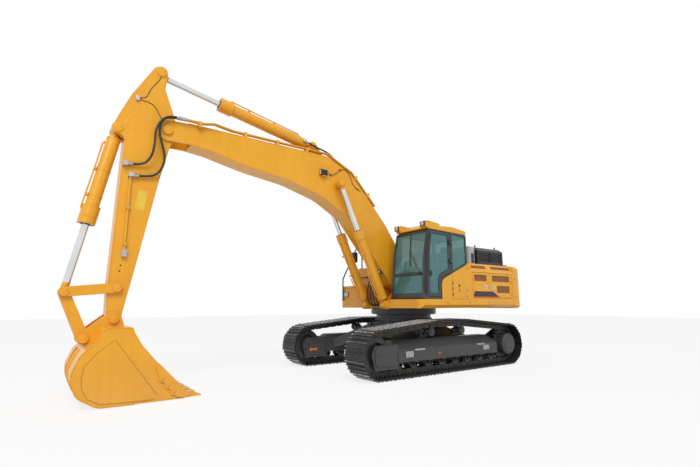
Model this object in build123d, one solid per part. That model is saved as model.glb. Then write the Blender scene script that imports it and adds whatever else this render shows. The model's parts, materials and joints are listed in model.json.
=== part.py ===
from build123d import *
from math import acos, atan2, cos, degrees, hypot, pi, radians, sin, tan
import os

# Crawler excavator, millimetres. X forward, Y to the left, Z up; the origin is on the ground under the
# swing axis. Profiles are drawn as x, z, corner radius and extruded across the machine.

# ---------------------------------------------------------------- fits
RUNNING_GAP = 0.3          # between faces that turn on each other
PIN_GAP = 0.3              # radial play of a hinge pin
SEAM = 8.0                 # between a door and its frame

# ---------------------------------------------------------------- undercarriage sizes
TRACK_Y = 1295.0           # centre of each track
SHOE_WIDTH = 600.0
SHOE_COUNT = 49
SHOE_THICKNESS = 14.0
GROUSER_HEIGHT = 32.0
LINK_HEIGHT = 112.0        # rail surface to the underside of the shoe
PIN_LINE = 50.0            # rail surface to the track pin
RAIL_RADIUS = 320.0        # rail surface round the idler and the sprocket
TUMBLER_X = 2020.0
TUMBLER_Z = RAIL_RADIUS + LINK_HEIGHT + SHOE_THICKNESS + GROUSER_HEIGHT
CARRIER_X = 490.0
CARRIER_Z = 850.0
CARRIER_RADIUS = 90.0
RAIL_INNER = 55.0          # from the track's centre
RAIL_OUTER = 95.0
ROLLER_X = [-1470, -1050, -630, -210, 210, 630, 1050, 1470]
ROLLER_Z = 250.0
SHAFT_RADIUS = 34.0
BEAM_HALF = 190.0          # half the width of a side frame
BEAM_BOTTOM = 300.0
BEAM_TOP = 710.0
BEAM_SHOULDER = 540.0      # where the beam's outer face ends and its sloping top starts
BEAM_RIDGE = 30.0          # from the track's centre to the flat part of the top
BEAM_REAR = -1610.0
ROLLER_CHANNEL = (120.0, 375.0)   # half width and top of the channel over the rollers
YOKE_PLATE = 25.0
SPROCKET_TEETH = 21
SPROCKET_TIP = 376.0
SPROCKET_ROOT = 312.0
SPROCKET_HALF = 42.0
HUB_RADIUS = 250.0
HUB_FACE = 262.0           # from the track's centre to the hub's outer face
TOWER_RADIUS = 640.0
TOWER_BOTTOM = 660.0
TOWER_TOP = 1050.0
BEARING_RADIUS = 660.0
BEARING_TOP = 1200.0
TOW_X = 790.0
TOW_Z = 725.0
TOW_RADIUS = 35.0

# ---------------------------------------------------------------- upper structure sizes
SLEW_FLANGE_RADIUS = 790.0
DECK_BOTTOM = 1340.0
DECK_PLATE = 40.0
DECK_TOP = 1530.0
DECK_FRONT = 870.0
DECK_REAR = -2440.0
DECK_CORNER = 150.0
HALF_WIDTH = 1490.0
SKIRT_WIDTH = 160.0
WEB_INNER = 220.0
WEB_OUTER = 240.0
WEB_REAR_TOP = 1480.0      # top of the webs under the engine
PANEL = 30.0               # thickness of the body panels
PANEL_TOP = 2377.0
BEVEL_BOTTOM = 2180.0
BEVEL_INSET = 100.0
BEVEL_SLOT = (80.0, 120.0)  # along the slope and deep
BEVEL_SLOTS = [(-1394.0, -840.0), (-2363.0, -1593.0)]
BAY_FRONT = -790.0
DOOR_SEAM_X = -1450.0      # where the two left doors meet
DOOR_FRONT = -830.0
DOOR_REAR = -2330.0
FRONT_HINGE_X = DOOR_FRONT - SEAM / 2
REAR_HINGE_X = DOOR_REAR + SEAM / 2
DOOR_BOTTOM = 1560.0
SIDE_HINGE_OUT = 10.0      # the side doors' hinge axis stands out from the body by this
SIDE_LEAF = 32.0           # length of a hinge leaf
SIDE_HINGE_Z = [1720.0, 2010.0]
DOOR_TOP = 2165.0
UPPER_GRILLE = (1960.0, 2110.0)
LOWER_GRILLE = (1692.0, 1860.0)
SWING_RADIUS = 3440.0      # of the counterweight's tail
WEIGHT_BOTTOM = 1320.0
CORNER_RADIUS = 350.0
WEIGHT_SHOULDER = 240.0    # straight side of the counterweight behind the deck
LIFTING_EYE_X = -3000.0
LIFTING_EYE_Y = 900.0
LIFTING_EYE_PLATE = 50.0
LIFTING_EYE_RADIUS = 32.0
HOOD_FRONT = -1370.0
HOOD_REAR = -2400.0
HOOD_LEFT = 1250.0
HOOD_RIGHT = -700.0
HOOD_TOP = 2820.0
HOOD_BASE = PANEL_TOP + RUNNING_GAP
HOOD_HINGE = 14.0          # the hinge axis lies this far behind and above the hood's lower rear edge
HOOD_HINGE_RADIUS = 12.0
HOOD_HINGE_Y = [-500.0, 1050.0]
RAIL_Y = -1400.0
RAIL_DIAMETER = 34.0

# cab
CAB_REAR = -650.0
CAB_RIGHT = 480.0
CAB_LEFT = 1490.0
CAB_FLOOR = DECK_TOP
CAB_TOP = 3060.0
CAB_WALL = 45.0
CAB_NOSE = 800.0           # front of the cab at its floor
CAB_BROW = 600.0           # front of the cab at its roof
CAB_BEND = CAB_TOP - 560   # height where the front leans back
ROOF_PEAK = CAB_TOP + 105
ROOF_PEAK_X = -165.0
PANES = [(DECK_TOP + 110, DECK_TOP + 525), (DECK_TOP + 560, CAB_TOP - 60)]    # bottom and top of each front pane
SHOULDER = [(220, DECK_TOP), (220, 1950), (-750, PANEL_TOP)]    # edge of the yellow side panel, x and z
B_PILLAR = -85.0
DOOR_FRAME = 62.0
WINDOW_FRAME = 30.0        # rim of the fixed windows
REAR_WINDOW = (2430.0, CAB_TOP - 130)
DOOR_HINGE_Y = 1516.0
HINGE_Z = [CAB_TOP - 680, CAB_TOP - 260]
HINGE_HALF = 40.0

# ---------------------------------------------------------------- pins, x and z
BOOM_FOOT = (200, 1960)
BOOM_LIFT_BASE = (880, 1405)
BOOM_LIFT_ROD = (2130, 4080)
ARM_PIVOT = (5750, 4470)
ARM_CROWD_BASE = (2700, 4900)
ARM_CROWD_ROD = (5905, 5545)
BUCKET_BASE = (6505, 4350)
GUIDE_PIVOT = (6315, 1695)
LINK_JOINT = (7012, 1622)
BUCKET_PIVOT = (6332, 1215)
BUCKET_LINK_PIN = (6710, 930)

# ---------------------------------------------------------------- working equipment sizes
BOOM_TOP = 4690.0
BOOM_HALF = 212.0
BOOM_PLATE = 14.0
FORK_INNER = 188.0
ARM_HALF = 170.0
ARM_PLATE = 12.0
LIFT_Y = 345.0             # boom cylinders, each side
EYE_HALF = 60.0            # half the width of a cylinder's eye on the centre line
LIFT_EYE_HALF = 55.0
LIFT_ROD = 54.0
CROWD_ROD = 57.0
BUCKET_ROD = 56.0
LIFT_PIN = 45.0
FOOT_PIN = 55.0
ARM_PIN = 50.0
BOX_END = 5330.0
PIPE_RISE = 75.0           # of the pipes' centres over the boom's top
PIPE_PORT_RISE = 30.0      # the same at the hoses
PIPE_OUT = 110.0
PIPE_END = 5540.0
EYE_SLOT = 66.0            # half the slot that such an eye sits in
BUCKET_HALF = 790.0
CUTTER_THICK = 26.0
CUTTER_LOBES = [(-645, -880), (-735, -985), (-825, -1090)]      # from the bucket's pivot
BUCKET_EAR = (185.0, 235.0)
GUIDE_BAND = (178.0, 225.0)
LINK_BAND = (66.0, 172.0)
SIDE_PLATE = 28.0
TOOTH_COUNT = 5


# ---------------------------------------------------------------- forms
def upright(face, y_low, y_high):
    """Turns a face drawn as x, z into a plate from y_low to y_high."""
    return Pos(0, y_high, 0) * Rot(90, 0, 0) * extrude(face, amount=y_high - y_low)


def outline(rows):
    """Closed face from rows of x, z, corner radius."""
    line = FilletPolyline(*[(x, z) for x, z, r in rows], radius=[r for x, z, r in rows], close=True)
    return make_face(line)


def slab(rows, y_low, y_high):
    return upright(outline(rows), y_low, y_high)


def hull(discs, y_low, y_high):
    """Plate round discs given as x, z, radius."""
    edges = [(Pos(x, z) * Circle(r)).edges() for x, z, r in discs]
    return upright(make_hull([edge for group in edges for edge in group]), y_low, y_high)


def plan(rows, z_low, z_high):
    """Flat plate from rows of x, y, corner radius."""
    return Pos(0, 0, z_low) * extrude(outline(rows), amount=z_high - z_low)


def block(x_low, x_high, y_low, y_high, z_low, z_high):
    size = (x_high - x_low, y_high - y_low, z_high - z_low)
    return Pos((x_low + x_high) / 2, (y_low + y_high) / 2, (z_low + z_high) / 2) * Box(*size)


def shaft(pin, radius, y_low, y_high):
    """Round bar across the machine at a pin given as x, z."""
    return Pos(pin[0], (y_low + y_high) / 2, pin[1]) * Rot(90, 0, 0) * Cylinder(radius, y_high - y_low)


def bar(start, end, y, radius, low, high):
    """Round bar on the line from start to end, between two distances from start."""
    line = Plane(origin=(start[0], y, start[1]), z_dir=(end[0] - start[0], 0, end[1] - start[1]))
    return line * Pos(0, 0, (low + high) / 2) * Cylinder(radius, high - low)


def turned(centre, y, rows):
    """Solid of revolution about a crosswise axis from rows of offset along Y, radius."""
    edge = Polyline(*[(radius, along) for along, radius in rows], close=True)
    ring = revolve(make_face(edge), Axis.Y)
    return Pos(centre[0], y, centre[1]) * ring


def both(shape):
    """The shape and its mirror image across the machine's middle plane."""
    return [shape, mirror(shape, about=Plane.XZ)]


def distance(a, b):
    return hypot(b[0] - a[0], b[1] - a[1])


def hose(points, diameter):
    """Tube along straight runs and tangent arcs through the points."""
    spots = [Vector(*point) for point in points]
    runs = [b - a for a, b in zip(spots, spots[1:])]
    radii = []
    for before, after in zip(runs, runs[1:]):
        turn = radians(before.get_angle(after))
        radii.append(0.45 * min(before.length, after.length) / tan(turn / 2))
    path = FilletPolyline(*points, radius=radii)
    print("hose", round(path.length), "mm, radii", [round(r) for r in radii])
    section = Plane(origin=path @ 0, z_dir=path % 0) * Circle(diameter / 2)
    return sweep(section, path=path)


# ---------------------------------------------------------------- track belt
def belt_frames():
    """Middle of each shoe on the pin line: x, z and the angle of its outward normal."""
    wheels = [
        (-TUMBLER_X, TUMBLER_Z, RAIL_RADIUS + PIN_LINE),
        (-CARRIER_X, CARRIER_Z, CARRIER_RADIUS + PIN_LINE),
        (CARRIER_X, CARRIER_Z, CARRIER_RADIUS + PIN_LINE),
        (TUMBLER_X, TUMBLER_Z, RAIL_RADIUS + PIN_LINE),
    ]
    following = wheels[1:] + wheels[:1]
    normals = []
    for (x1, z1, r1), (x2, z2, r2) in zip(wheels, following):
        span = hypot(x2 - x1, z2 - z1)
        normals.append(atan2(z2 - z1, x2 - x1) + acos((r1 - r2) / span))
    pieces = []            # length, is an arc, x, z, radius, normal
    for i, (x, z, r) in enumerate(wheels):
        turn = (normals[i - 1] - normals[i]) % (2 * pi)
        pieces.append((turn * r, True, x, z, r, normals[i - 1]))
        x2, z2, r2 = following[i]
        run = (hypot(x2 - x, z2 - z) ** 2 - (r - r2) ** 2) ** 0.5
        pieces.append((run, False, x + r * cos(normals[i]), z + r * sin(normals[i]), r, normals[i]))
    total = sum(piece[0] for piece in pieces)
    frames = []
    for k in range(SHOE_COUNT):
        along = total * k / SHOE_COUNT
        for length, is_arc, x, z, r, normal in pieces:
            if along <= length:
                break
            along -= length
        if is_arc:
            normal -= along / r
            frames.append((x + r * cos(normal), z + r * sin(normal), normal))
        else:
            frames.append((x + along * sin(normal), z - along * cos(normal), normal))
    return frames, total / SHOE_COUNT


def on_frame(frame, along, height):
    x, z, normal = frame
    return (
        x + along * sin(normal) + height * cos(normal),
        z - along * cos(normal) + height * sin(normal),
    )


def joint_point(frame, following, height):
    """Where the lines at one height over two neighbouring shoes meet."""
    here = on_frame(frame, 0, height)
    there = on_frame(following, 0, height)
    bend = sin(frame[2] - following[2])
    if abs(bend) < 0.001:
        return ((here[0] + there[0]) / 2, (here[1] + there[1]) / 2)
    across = (there[0] - here[0]) * cos(following[2]) + (there[1] - here[1]) * sin(following[2])
    return on_frame(frame, across / bend, height)


def belt_ring(frames, height):
    pairs = zip(frames, frames[1:] + frames[:1])
    return [joint_point(a, b, height) for a, b in pairs]


def polygon(points):
    return make_face(Polyline(*points, close=True))


def shoe_ring():
    """All shoes of one track as a closed belt, three grousers on each shoe."""
    frames, pitch = belt_frames()
    base = LINK_HEIGHT - PIN_LINE
    top = base + SHOE_THICKNESS
    tip = top + GROUSER_HEIGHT
    # share of the pitch along the shoe, height; the gap to the next shoe follows each row set
    rows = [
        (-0.46, top), (-0.42, tip), (-0.36, top),
        (-0.05, top), (0.0, tip), (0.05, top),
        (0.36, top), (0.42, tip), (0.46, top),
    ]
    outer = []
    gaps = belt_ring(frames, base + 0.6 * SHOE_THICKNESS)
    for frame, gap in zip(frames, gaps):
        outer += [on_frame(frame, share * pitch, height) for share, height in rows]
        outer.append(gap)
    ring = polygon(outer) - polygon(belt_ring(frames, base))
    return upright(ring, TRACK_Y - SHOE_WIDTH / 2, TRACK_Y + SHOE_WIDTH / 2)


def link_rails():
    """The two rails of the chain that the rollers run on."""
    frames, pitch = belt_frames()
    ring = polygon(belt_ring(frames, LINK_HEIGHT - PIN_LINE)) - polygon(belt_ring(frames, -PIN_LINE))
    bands = [(-RAIL_OUTER, -RAIL_INNER), (RAIL_INNER, RAIL_OUTER)]
    return Compound([upright(ring, TRACK_Y + low, TRACK_Y + high) for low, high in bands])


# ---------------------------------------------------------------- undercarriage
def sprocket():
    points = []
    for k in range(SPROCKET_TEETH):
        # share of a tooth's pitch, radius
        for share, radius in [(-0.32, SPROCKET_ROOT), (-0.12, SPROCKET_TIP), (0.12, SPROCKET_TIP), (0.32, SPROCKET_ROOT)]:
            angle = 2 * pi * (k + share) / SPROCKET_TEETH
            points.append((-TUMBLER_X + radius * cos(angle), TUMBLER_Z + radius * sin(angle)))
    rim = upright(polygon(points), TRACK_Y - SPROCKET_HALF, TRACK_Y + SPROCKET_HALF)
    # offset from the track's centre, radius
    drum = turned((-TUMBLER_X, TUMBLER_Z), TRACK_Y, [
        (-150, 0), (-150, 290), (-110, 290), (-100, 225), (-60, 225), (-50, 240), (150, 240),
        (165, HUB_RADIUS), (225, HUB_RADIUS), (HUB_FACE, 205), (HUB_FACE, 0),
    ])
    return rim + drum


def idler():
    wheel = turned((TUMBLER_X, TUMBLER_Z), TRACK_Y, [
        (-98, 225), (-98, RAIL_RADIUS - RUNNING_GAP), (-50, RAIL_RADIUS - RUNNING_GAP), (-44, 350), (44, 350),
        (50, RAIL_RADIUS - RUNNING_GAP), (98, RAIL_RADIUS - RUNNING_GAP), (98, 225), (40, 205), (40, 120),
        (120, 105), (120, 52), (BEAM_HALF, 52), (BEAM_HALF, 0), (-BEAM_HALF, 0), (-BEAM_HALF, 52),
        (-120, 52), (-120, 105), (-40, 120), (-40, 205),
    ])
    return wheel


def track_rollers():
    radius = ROLLER_Z - (TUMBLER_Z - RAIL_RADIUS) - RUNNING_GAP
    # offset from the roller's middle, radius
    rows = [
        (-150, 0), (-150, SHAFT_RADIUS), (-114, SHAFT_RADIUS), (-114, radius + 16), (-100, radius + 16),
        (-97, radius), (-48, radius), (-44, radius - 22), (44, radius - 22), (48, radius),
        (97, radius), (100, radius + 16), (114, radius + 16), (114, SHAFT_RADIUS), (150, SHAFT_RADIUS), (150, 0),
    ]
    solids = []
    for x in ROLLER_X:
        roller = turned((x, ROLLER_Z), TRACK_Y, rows)
        for side in (-1, 1):
            middle = TRACK_Y + side * 155
            roller += block(x - 42, x + 42, middle - 22, middle + 22, ROLLER_Z - 44, BEAM_BOTTOM)
        solids.append(roller)
    carrier = CARRIER_RADIUS - RUNNING_GAP
    rows = [(-150, 0), (-150, 38), (-100, 38), (-100, carrier), (-46, carrier), (-42, carrier - 18),
            (42, carrier - 18), (46, carrier), (100, carrier), (100, 0)]
    for x in (-CARRIER_X, CARRIER_X):
        post = slab([(x - 90, BEAM_TOP, 0), (x + 90, BEAM_TOP, 0), (x + 48, CARRIER_Z + 40, 30),
                     (x - 48, CARRIER_Z + 40, 30)], TRACK_Y - 172, TRACK_Y - 132)
        solids.append(turned((x, CARRIER_Z), TRACK_Y, rows) + post)
    return Compound(solids)


def track_frame():
    """Box beam of one side with the idler's yoke and the final drive's plate."""
    beam = slab([
        (BEAM_REAR, BEAM_BOTTOM, 20), (1640, BEAM_BOTTOM, 0), (1640, 600, 0), (1500, BEAM_TOP, 0),
        (-1400, BEAM_TOP, 0), (BEAM_REAR, 520, 20),
    ], TRACK_Y - BEAM_HALF, TRACK_Y + BEAM_HALF)
    outer = TRACK_Y + BEAM_HALF
    slope = Polyline((outer + 1, BEAM_SHOULDER), (outer + 1, BEAM_TOP + 1), (TRACK_Y + BEAM_RIDGE, BEAM_TOP + 1), close=True)
    beam -= extrude(Plane.YZ.offset(BEAM_REAR - 5) * make_face(slope), amount=2 * TUMBLER_X)
    yoke_rows = [(1540, 190, 0), (2120, 190, 60), (2200, 478, 60), (2120, 650, 60), (1540, 650, 0)]
    for side in (-1, 1):
        inner = TRACK_Y + side * (BEAM_HALF - YOKE_PLATE)
        outer = TRACK_Y + side * BEAM_HALF
        yoke = slab(yoke_rows, min(inner, outer), max(inner, outer))
        beam += yoke
    beam -= shaft((TUMBLER_X, TUMBLER_Z), 52 + RUNNING_GAP, TRACK_Y - 250, TRACK_Y + 250)
    plate = hull([(-TUMBLER_X, TUMBLER_Z, 330), (-1560, 455, 150)], TRACK_Y - BEAM_HALF, TRACK_Y - 150)
    plate = plate + turned((-TUMBLER_X, TUMBLER_Z), TRACK_Y,
                           [(-BEAM_HALF, 0), (-BEAM_HALF, 205), (-350, 190), (-350, 0)])
    beam += plate
    half, top = ROLLER_CHANNEL
    beam -= block(BEAM_REAR - 5, 1645, TRACK_Y - half, TRACK_Y + half, BEAM_BOTTOM - 10, top)
    return beam


def centre_frame():
    """Slew tower and the four legs that reach the side frames."""
    tower = Pos(0, 0, (TOWER_BOTTOM + TOWER_TOP) / 2) * Cylinder(TOWER_RADIUS, TOWER_TOP - TOWER_BOTTOM)
    body = tower + block(-700, 700, -560, 560, TOWER_BOTTOM, 980)
    leg_end = TRACK_Y - BEAM_HALF
    for end in (-1, 1):
        for side in (-1, 1):
            root = Plane(origin=(end * 430, side * 380, 820), x_dir=(1, 0, 0), z_dir=(0, side, 0))
            seat = Plane(origin=(end * 960, side * leg_end, 480), x_dir=(1, 0, 0), z_dir=(0, side, 0))
            body += loft([root * Rectangle(620, 320), seat * Rectangle(760, 220)])
    hole = Pos(0, 0, TOWER_TOP) * Cylinder(430, 160)
    body -= hole
    for end in (-1, 1):
        lug = plan([(end * 640, -110, 0), (end * (TOW_X + 80), -80, 50), (end * (TOW_X + 80), 80, 50), (end * 640, 110, 0)],
                   TOW_Z - 25, TOW_Z + 25)
        body += lug - shaft_z(end * TOW_X, 0, TOW_RADIUS, TOW_Z - 40, TOW_Z + 40)
    return body


def swing_bearing():
    height = BEARING_TOP - TOWER_TOP - RUNNING_GAP
    ring = Pos(0, 0, TOWER_TOP + height / 2) * (Cylinder(BEARING_RADIUS, height) - Cylinder(520, height))
    lip = Pos(0, 0, TOWER_TOP + 20) * (Cylinder(BEARING_RADIUS + 35, 40) - Cylinder(520, 40))
    return ring + lip


# ---------------------------------------------------------------- upper structure
def revolving_frame():
    deck = plan([(DECK_REAR, -HALF_WIDTH, 0), (DECK_FRONT, -HALF_WIDTH, 60), (DECK_FRONT, -430, 0),
                 (DECK_FRONT - 130, -430, 0), (DECK_FRONT - 130, 430, 0), (DECK_FRONT, 430, 0),
                 (DECK_FRONT, HALF_WIDTH, 60), (DECK_REAR, HALF_WIDTH, 0)],
                DECK_BOTTOM, DECK_BOTTOM + DECK_PLATE)
    skirt = Plane(origin=(DECK_REAR, 0, 0), x_dir=(0, 1, 0), z_dir=(1, 0, 0))
    inner = HALF_WIDTH - SKIRT_WIDTH
    # y, z
    section = Polyline((inner, DECK_BOTTOM), (HALF_WIDTH - 60, DECK_BOTTOM), (HALF_WIDTH, DECK_BOTTOM + 70),
                       (HALF_WIDTH, DECK_TOP), (inner, DECK_TOP), close=True)
    side = extrude(skirt * make_face(section), amount=DECK_FRONT - DECK_REAR)
    frame = deck + both(side)
    for low, high in ((430, inner), (-inner, -430)):
        frame += block(DECK_FRONT - 130, DECK_FRONT, low, high, DECK_BOTTOM, DECK_TOP)
        frame += block(DECK_REAR, DECK_REAR + 100, low, high, DECK_BOTTOM, DECK_TOP)
        frame += block(CAB_REAR - 60, CAB_REAR + 40, low, high, DECK_BOTTOM, DECK_TOP)
    cut = Plane.YZ.offset(DECK_REAR - 5)
    corner = Polyline((HALF_WIDTH - 60, DECK_BOTTOM - 1), (HALF_WIDTH + 1, DECK_BOTTOM - 1),
                      (HALF_WIDTH + 1, DECK_BOTTOM + 71), close=True)
    frame -= both(extrude(cut * make_face(corner), amount=DECK_FRONT - DECK_REAR + 10))
    web = slab([
        (DECK_REAR, DECK_BOTTOM, 0), (DECK_REAR, WEB_REAR_TOP, 0), (-950, WEB_REAR_TOP, 200), (-150, 2080, 300),
        (200, 2160, 150), (380, 2080, 120), (400, 1860, 200), (690, 1560, 60), (740, DECK_BOTTOM, 0),
    ], WEB_INNER, WEB_OUTER)
    web += shaft(BOOM_FOOT, 130, WEB_INNER, WEB_OUTER + 25)
    frame += both(web)
    for low in (LIFT_Y - LIFT_EYE_HALF - 28, LIFT_Y + LIFT_EYE_HALF + 4):
        ear = hull([(*BOOM_LIFT_BASE, 95), (640, DECK_BOTTOM + 40, 40), (640, 1480, 60)], low, low + 24)
        frame += both(ear)
    frame += both(block(620, 735, LIFT_Y - 90, LIFT_Y + 90, DECK_BOTTOM, 1500))
    frame += both(shaft(BOOM_LIFT_BASE, LIFT_PIN, LIFT_Y - 95, LIFT_Y + 95))
    frame += shaft(BOOM_FOOT, FOOT_PIN, -WEB_OUTER - 40, WEB_OUTER + 40)
    corner = plan([(DECK_FRONT - DECK_CORNER, HALF_WIDTH + 1, 0), (DECK_FRONT + 1, HALF_WIDTH + 1, 0),
                   (DECK_FRONT + 1, HALF_WIDTH - DECK_CORNER, 0), (DECK_FRONT - DECK_CORNER, HALF_WIDTH - DECK_CORNER, 0)],
                  DECK_BOTTOM - 5, DECK_TOP + 5)
    corner -= shaft_z(DECK_FRONT - DECK_CORNER, HALF_WIDTH - DECK_CORNER, DECK_CORNER, DECK_BOTTOM - 10, DECK_TOP + 10)
    frame -= both(corner)
    return frame - shaft_z(0, 0, SLEW_FLANGE_RADIUS + 1, BEARING_TOP, DECK_BOTTOM)


def slew_ring():
    """Flange between the swing bearing and the deck."""
    return (shaft_z(0, 0, SLEW_FLANGE_RADIUS, BEARING_TOP, DECK_BOTTOM)
            - shaft_z(0, 0, 500, BEARING_TOP - 1, DECK_BOTTOM + 1))


def counterweight():
    front = DECK_REAR - RUNNING_GAP
    # x, y, corner radius of one side from the front to the tail
    side = [(front, HALF_WIDTH, 0), (front - WEIGHT_SHOULDER, HALF_WIDTH, 260),
            (-0.91 * SWING_RADIUS, 0.76 * HALF_WIDTH, 500), (-1.05 * SWING_RADIUS, 0.24 * HALF_WIDTH, 0)]
    shape = plan(side + [(x, -y, r) for x, y, r in reversed(side)], WEIGHT_BOTTOM, PANEL_TOP)
    shape = shape & shaft_z(0, 0, SWING_RADIUS, WEIGHT_BOTTOM - 10, PANEL_TOP + 10)
    edges = shape.edges().filter_by(Axis.Z).sort_by(Axis.X)[:2]
    shape = fillet(edges, CORNER_RADIUS)
    rim = shape.faces().sort_by(Axis.Z)[-1].edges().filter_by(lambda e: e.center().X < DECK_REAR - 20)
    shape = chamfer(rim, 70)
    foot = shape.faces().sort_by(Axis.Z)[0].edges().filter_by(lambda e: e.center().X < DECK_REAR - 20)
    shape = chamfer(foot, 50)
    for y in (-LIFTING_EYE_Y, LIFTING_EYE_Y):
        shape += slab([(LIFTING_EYE_X - 120, PANEL_TOP - 20, 0), (LIFTING_EYE_X - 60, PANEL_TOP + 110, 40),
                       (LIFTING_EYE_X + 60, PANEL_TOP + 110, 40), (LIFTING_EYE_X + 120, PANEL_TOP - 20, 0)],
                      y - LIFTING_EYE_PLATE / 2, y + LIFTING_EYE_PLATE / 2)
        shape -= shaft((LIFTING_EYE_X, PANEL_TOP + 50), LIFTING_EYE_RADIUS, y - 60, y + 60)
    return shape


def portal_face(inset):
    """Section of the engine bay, y and z."""
    half = HALF_WIDTH - inset
    top = PANEL_TOP - inset
    points = [(-half, DECK_TOP), (-half, BEVEL_BOTTOM), (-half + BEVEL_INSET, top), (half - BEVEL_INSET, top),
              (half, BEVEL_BOTTOM), (half, DECK_TOP)]
    return Plane.YZ * make_face(Polyline(*points, close=True))


def engine_bay():
    """Fixed panels round the engine, with the door openings and the hood's opening."""
    length = BAY_FRONT - DECK_REAR
    shell = Pos(DECK_REAR, 0, 0) * extrude(portal_face(0), amount=length)
    hollow = Pos(DECK_REAR - 1, 0, -1) * extrude(portal_face(PANEL), amount=length - PANEL)
    shell -= hollow
    left = block(DOOR_REAR, DOOR_FRONT, HALF_WIDTH - 60, HALF_WIDTH + 20, DOOR_BOTTOM, DOOR_TOP)
    right = block(DOOR_REAR, DOOR_FRONT, -HALF_WIDTH - 20, -HALF_WIDTH + 60, DOOR_BOTTOM, DOOR_TOP)
    shell = shell - left - right
    for axis_x, side, toward in ((FRONT_HINGE_X, 1, 1), (REAR_HINGE_X, 1, -1), (FRONT_HINGE_X, -1, 1)):
        shell += door_hinge(axis_x, side, toward, HINGE_HALF + RUNNING_GAP, HINGE_HALF + 30)
    shell -= both(block(BAY_FRONT - PANEL - 5, BAY_FRONT + 5, WEB_INNER - 6, WEB_OUTER + 6, DECK_TOP - 5, 1800))
    shell -= block(HOOD_REAR + 60, HOOD_FRONT - 60, HOOD_RIGHT + 60, HOOD_LEFT - 60, PANEL_TOP - 60, PANEL_TOP + 10)
    rise = PANEL_TOP - BEVEL_BOTTOM
    along, deep = BEVEL_SLOT
    for x_low, x_high in BEVEL_SLOTS:
        middle = ((x_low + x_high) / 2, HALF_WIDTH - BEVEL_INSET / 2, BEVEL_BOTTOM + 0.6 * rise)
        slope = Plane(origin=middle, x_dir=(1, 0, 0), z_dir=(0, rise, BEVEL_INSET))
        shell -= slope * Box(x_high - x_low, along, deep)
    return shell + hood_hinge(70)


def hood_hinge(along):
    """Hinge barrel with its foot at each height of HOOD_HINGE_Y, moved along Y."""
    x, z = HOOD_REAR - HOOD_HINGE, PANEL_TOP + HOOD_HINGE
    halves = []
    for y in HOOD_HINGE_Y:
        low, high = y + along, y + along + 70 - RUNNING_GAP
        halves.append(shaft((x, z), HOOD_HINGE_RADIUS, low, high))
        if along:
            halves.append(block(x - 9, x + 9, low, high, PANEL_TOP - 1, z))
        else:
            halves.append(block(x, HOOD_REAR + 1, low, high, z - 9, z + 9))
    return halves


def louvres(door, x_low, x_high, z_low, z_high, rows, y_low, y_high):
    pitch = (z_high - z_low) / rows
    for k in range(rows):
        bottom = z_low + k * pitch
        door -= block(x_low, x_high, y_low, y_high, bottom, bottom + (0.55 * pitch if rows > 1 else pitch))
    return door


def side_door(x_low, x_high, side):
    """Door in the side wall, flush with it."""
    y = sorted((side * (HALF_WIDTH - PANEL), side * HALF_WIDTH))
    return block(x_low + SEAM, x_high - SEAM, y[0], y[1], DOOR_BOTTOM + SEAM, DOOR_TOP - SEAM)


def door_hinge(axis_x, side, toward, low, high):
    """Hinge halves at each height: pins and leaves from low to high above the middle, and their mirror."""
    y = side * (HALF_WIDTH + SIDE_HINGE_OUT)
    leaf_x = sorted((axis_x, axis_x + toward * SIDE_LEAF))
    leaf_y = sorted((side * (HALF_WIDTH - 2), y))
    halves = []
    for middle in SIDE_HINGE_Z:
        for z_low, z_high in ((middle + low, middle + high), (middle - high, middle - low)):
            halves.append(shaft_z(axis_x, y, SIDE_HINGE_OUT, z_low, z_high))
            halves.append(block(*leaf_x, *leaf_y, z_low, z_high))
    return halves


def left_front_door():
    door = side_door(DOOR_SEAM_X - SEAM / 2, DOOR_FRONT, 1)
    door += door_hinge(FRONT_HINGE_X, 1, -1, 0, HINGE_HALF)
    return louvres(door, -1355, -890, *UPPER_GRILLE, 1, HALF_WIDTH - 60, HALF_WIDTH + 10)


def left_rear_door():
    door = side_door(DOOR_REAR, DOOR_SEAM_X + SEAM / 2, 1)
    door += door_hinge(REAR_HINGE_X, 1, 1, 0, HINGE_HALF)
    door = louvres(door, -2260, -1560, *UPPER_GRILLE, 1, HALF_WIDTH - 60, HALF_WIDTH + 10)
    return louvres(door, -2260, -1743, *LOWER_GRILLE, 1, HALF_WIDTH - 60, HALF_WIDTH + 10)


def right_pump_door():
    door = side_door(DOOR_REAR, DOOR_FRONT, -1)
    door += door_hinge(FRONT_HINGE_X, -1, -1, 0, HINGE_HALF)
    return louvres(door, -2240, -1600, *UPPER_GRILLE, 1, -HALF_WIDTH - 10, -HALF_WIDTH + 60)


def engine_hood():
    shell = block(HOOD_REAR, HOOD_FRONT, HOOD_RIGHT, HOOD_LEFT, HOOD_BASE, HOOD_TOP)
    shell = chamfer(shell.edges().filter_by(lambda e: e.center().Z > HOOD_TOP - 1), 70)
    shell -= block(HOOD_REAR + 25, HOOD_FRONT - 25, HOOD_RIGHT + 25, HOOD_LEFT - 25, HOOD_BASE - 5, HOOD_TOP - 95)
    shell += hood_hinge(0)
    for x_low, x_high in ((-1860, -1440), (-2330, -1910)):
        for y in (HOOD_LEFT, HOOD_RIGHT):
            shell = louvres(shell, x_low, x_high, HOOD_BASE + 90, HOOD_TOP - 110, 5, y - 60, y + 60)
    return shell


def air_box():
    box = block(HOOD_FRONT + 20, HOOD_FRONT + 260, 250, HOOD_LEFT - 50, PANEL_TOP, HOOD_TOP)
    return fillet(box.edges().filter_by(Axis.Z), 60)


def engine_block():
    return block(-2150, -1450, -550, 650, WEB_REAR_TOP, 2250)


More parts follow.
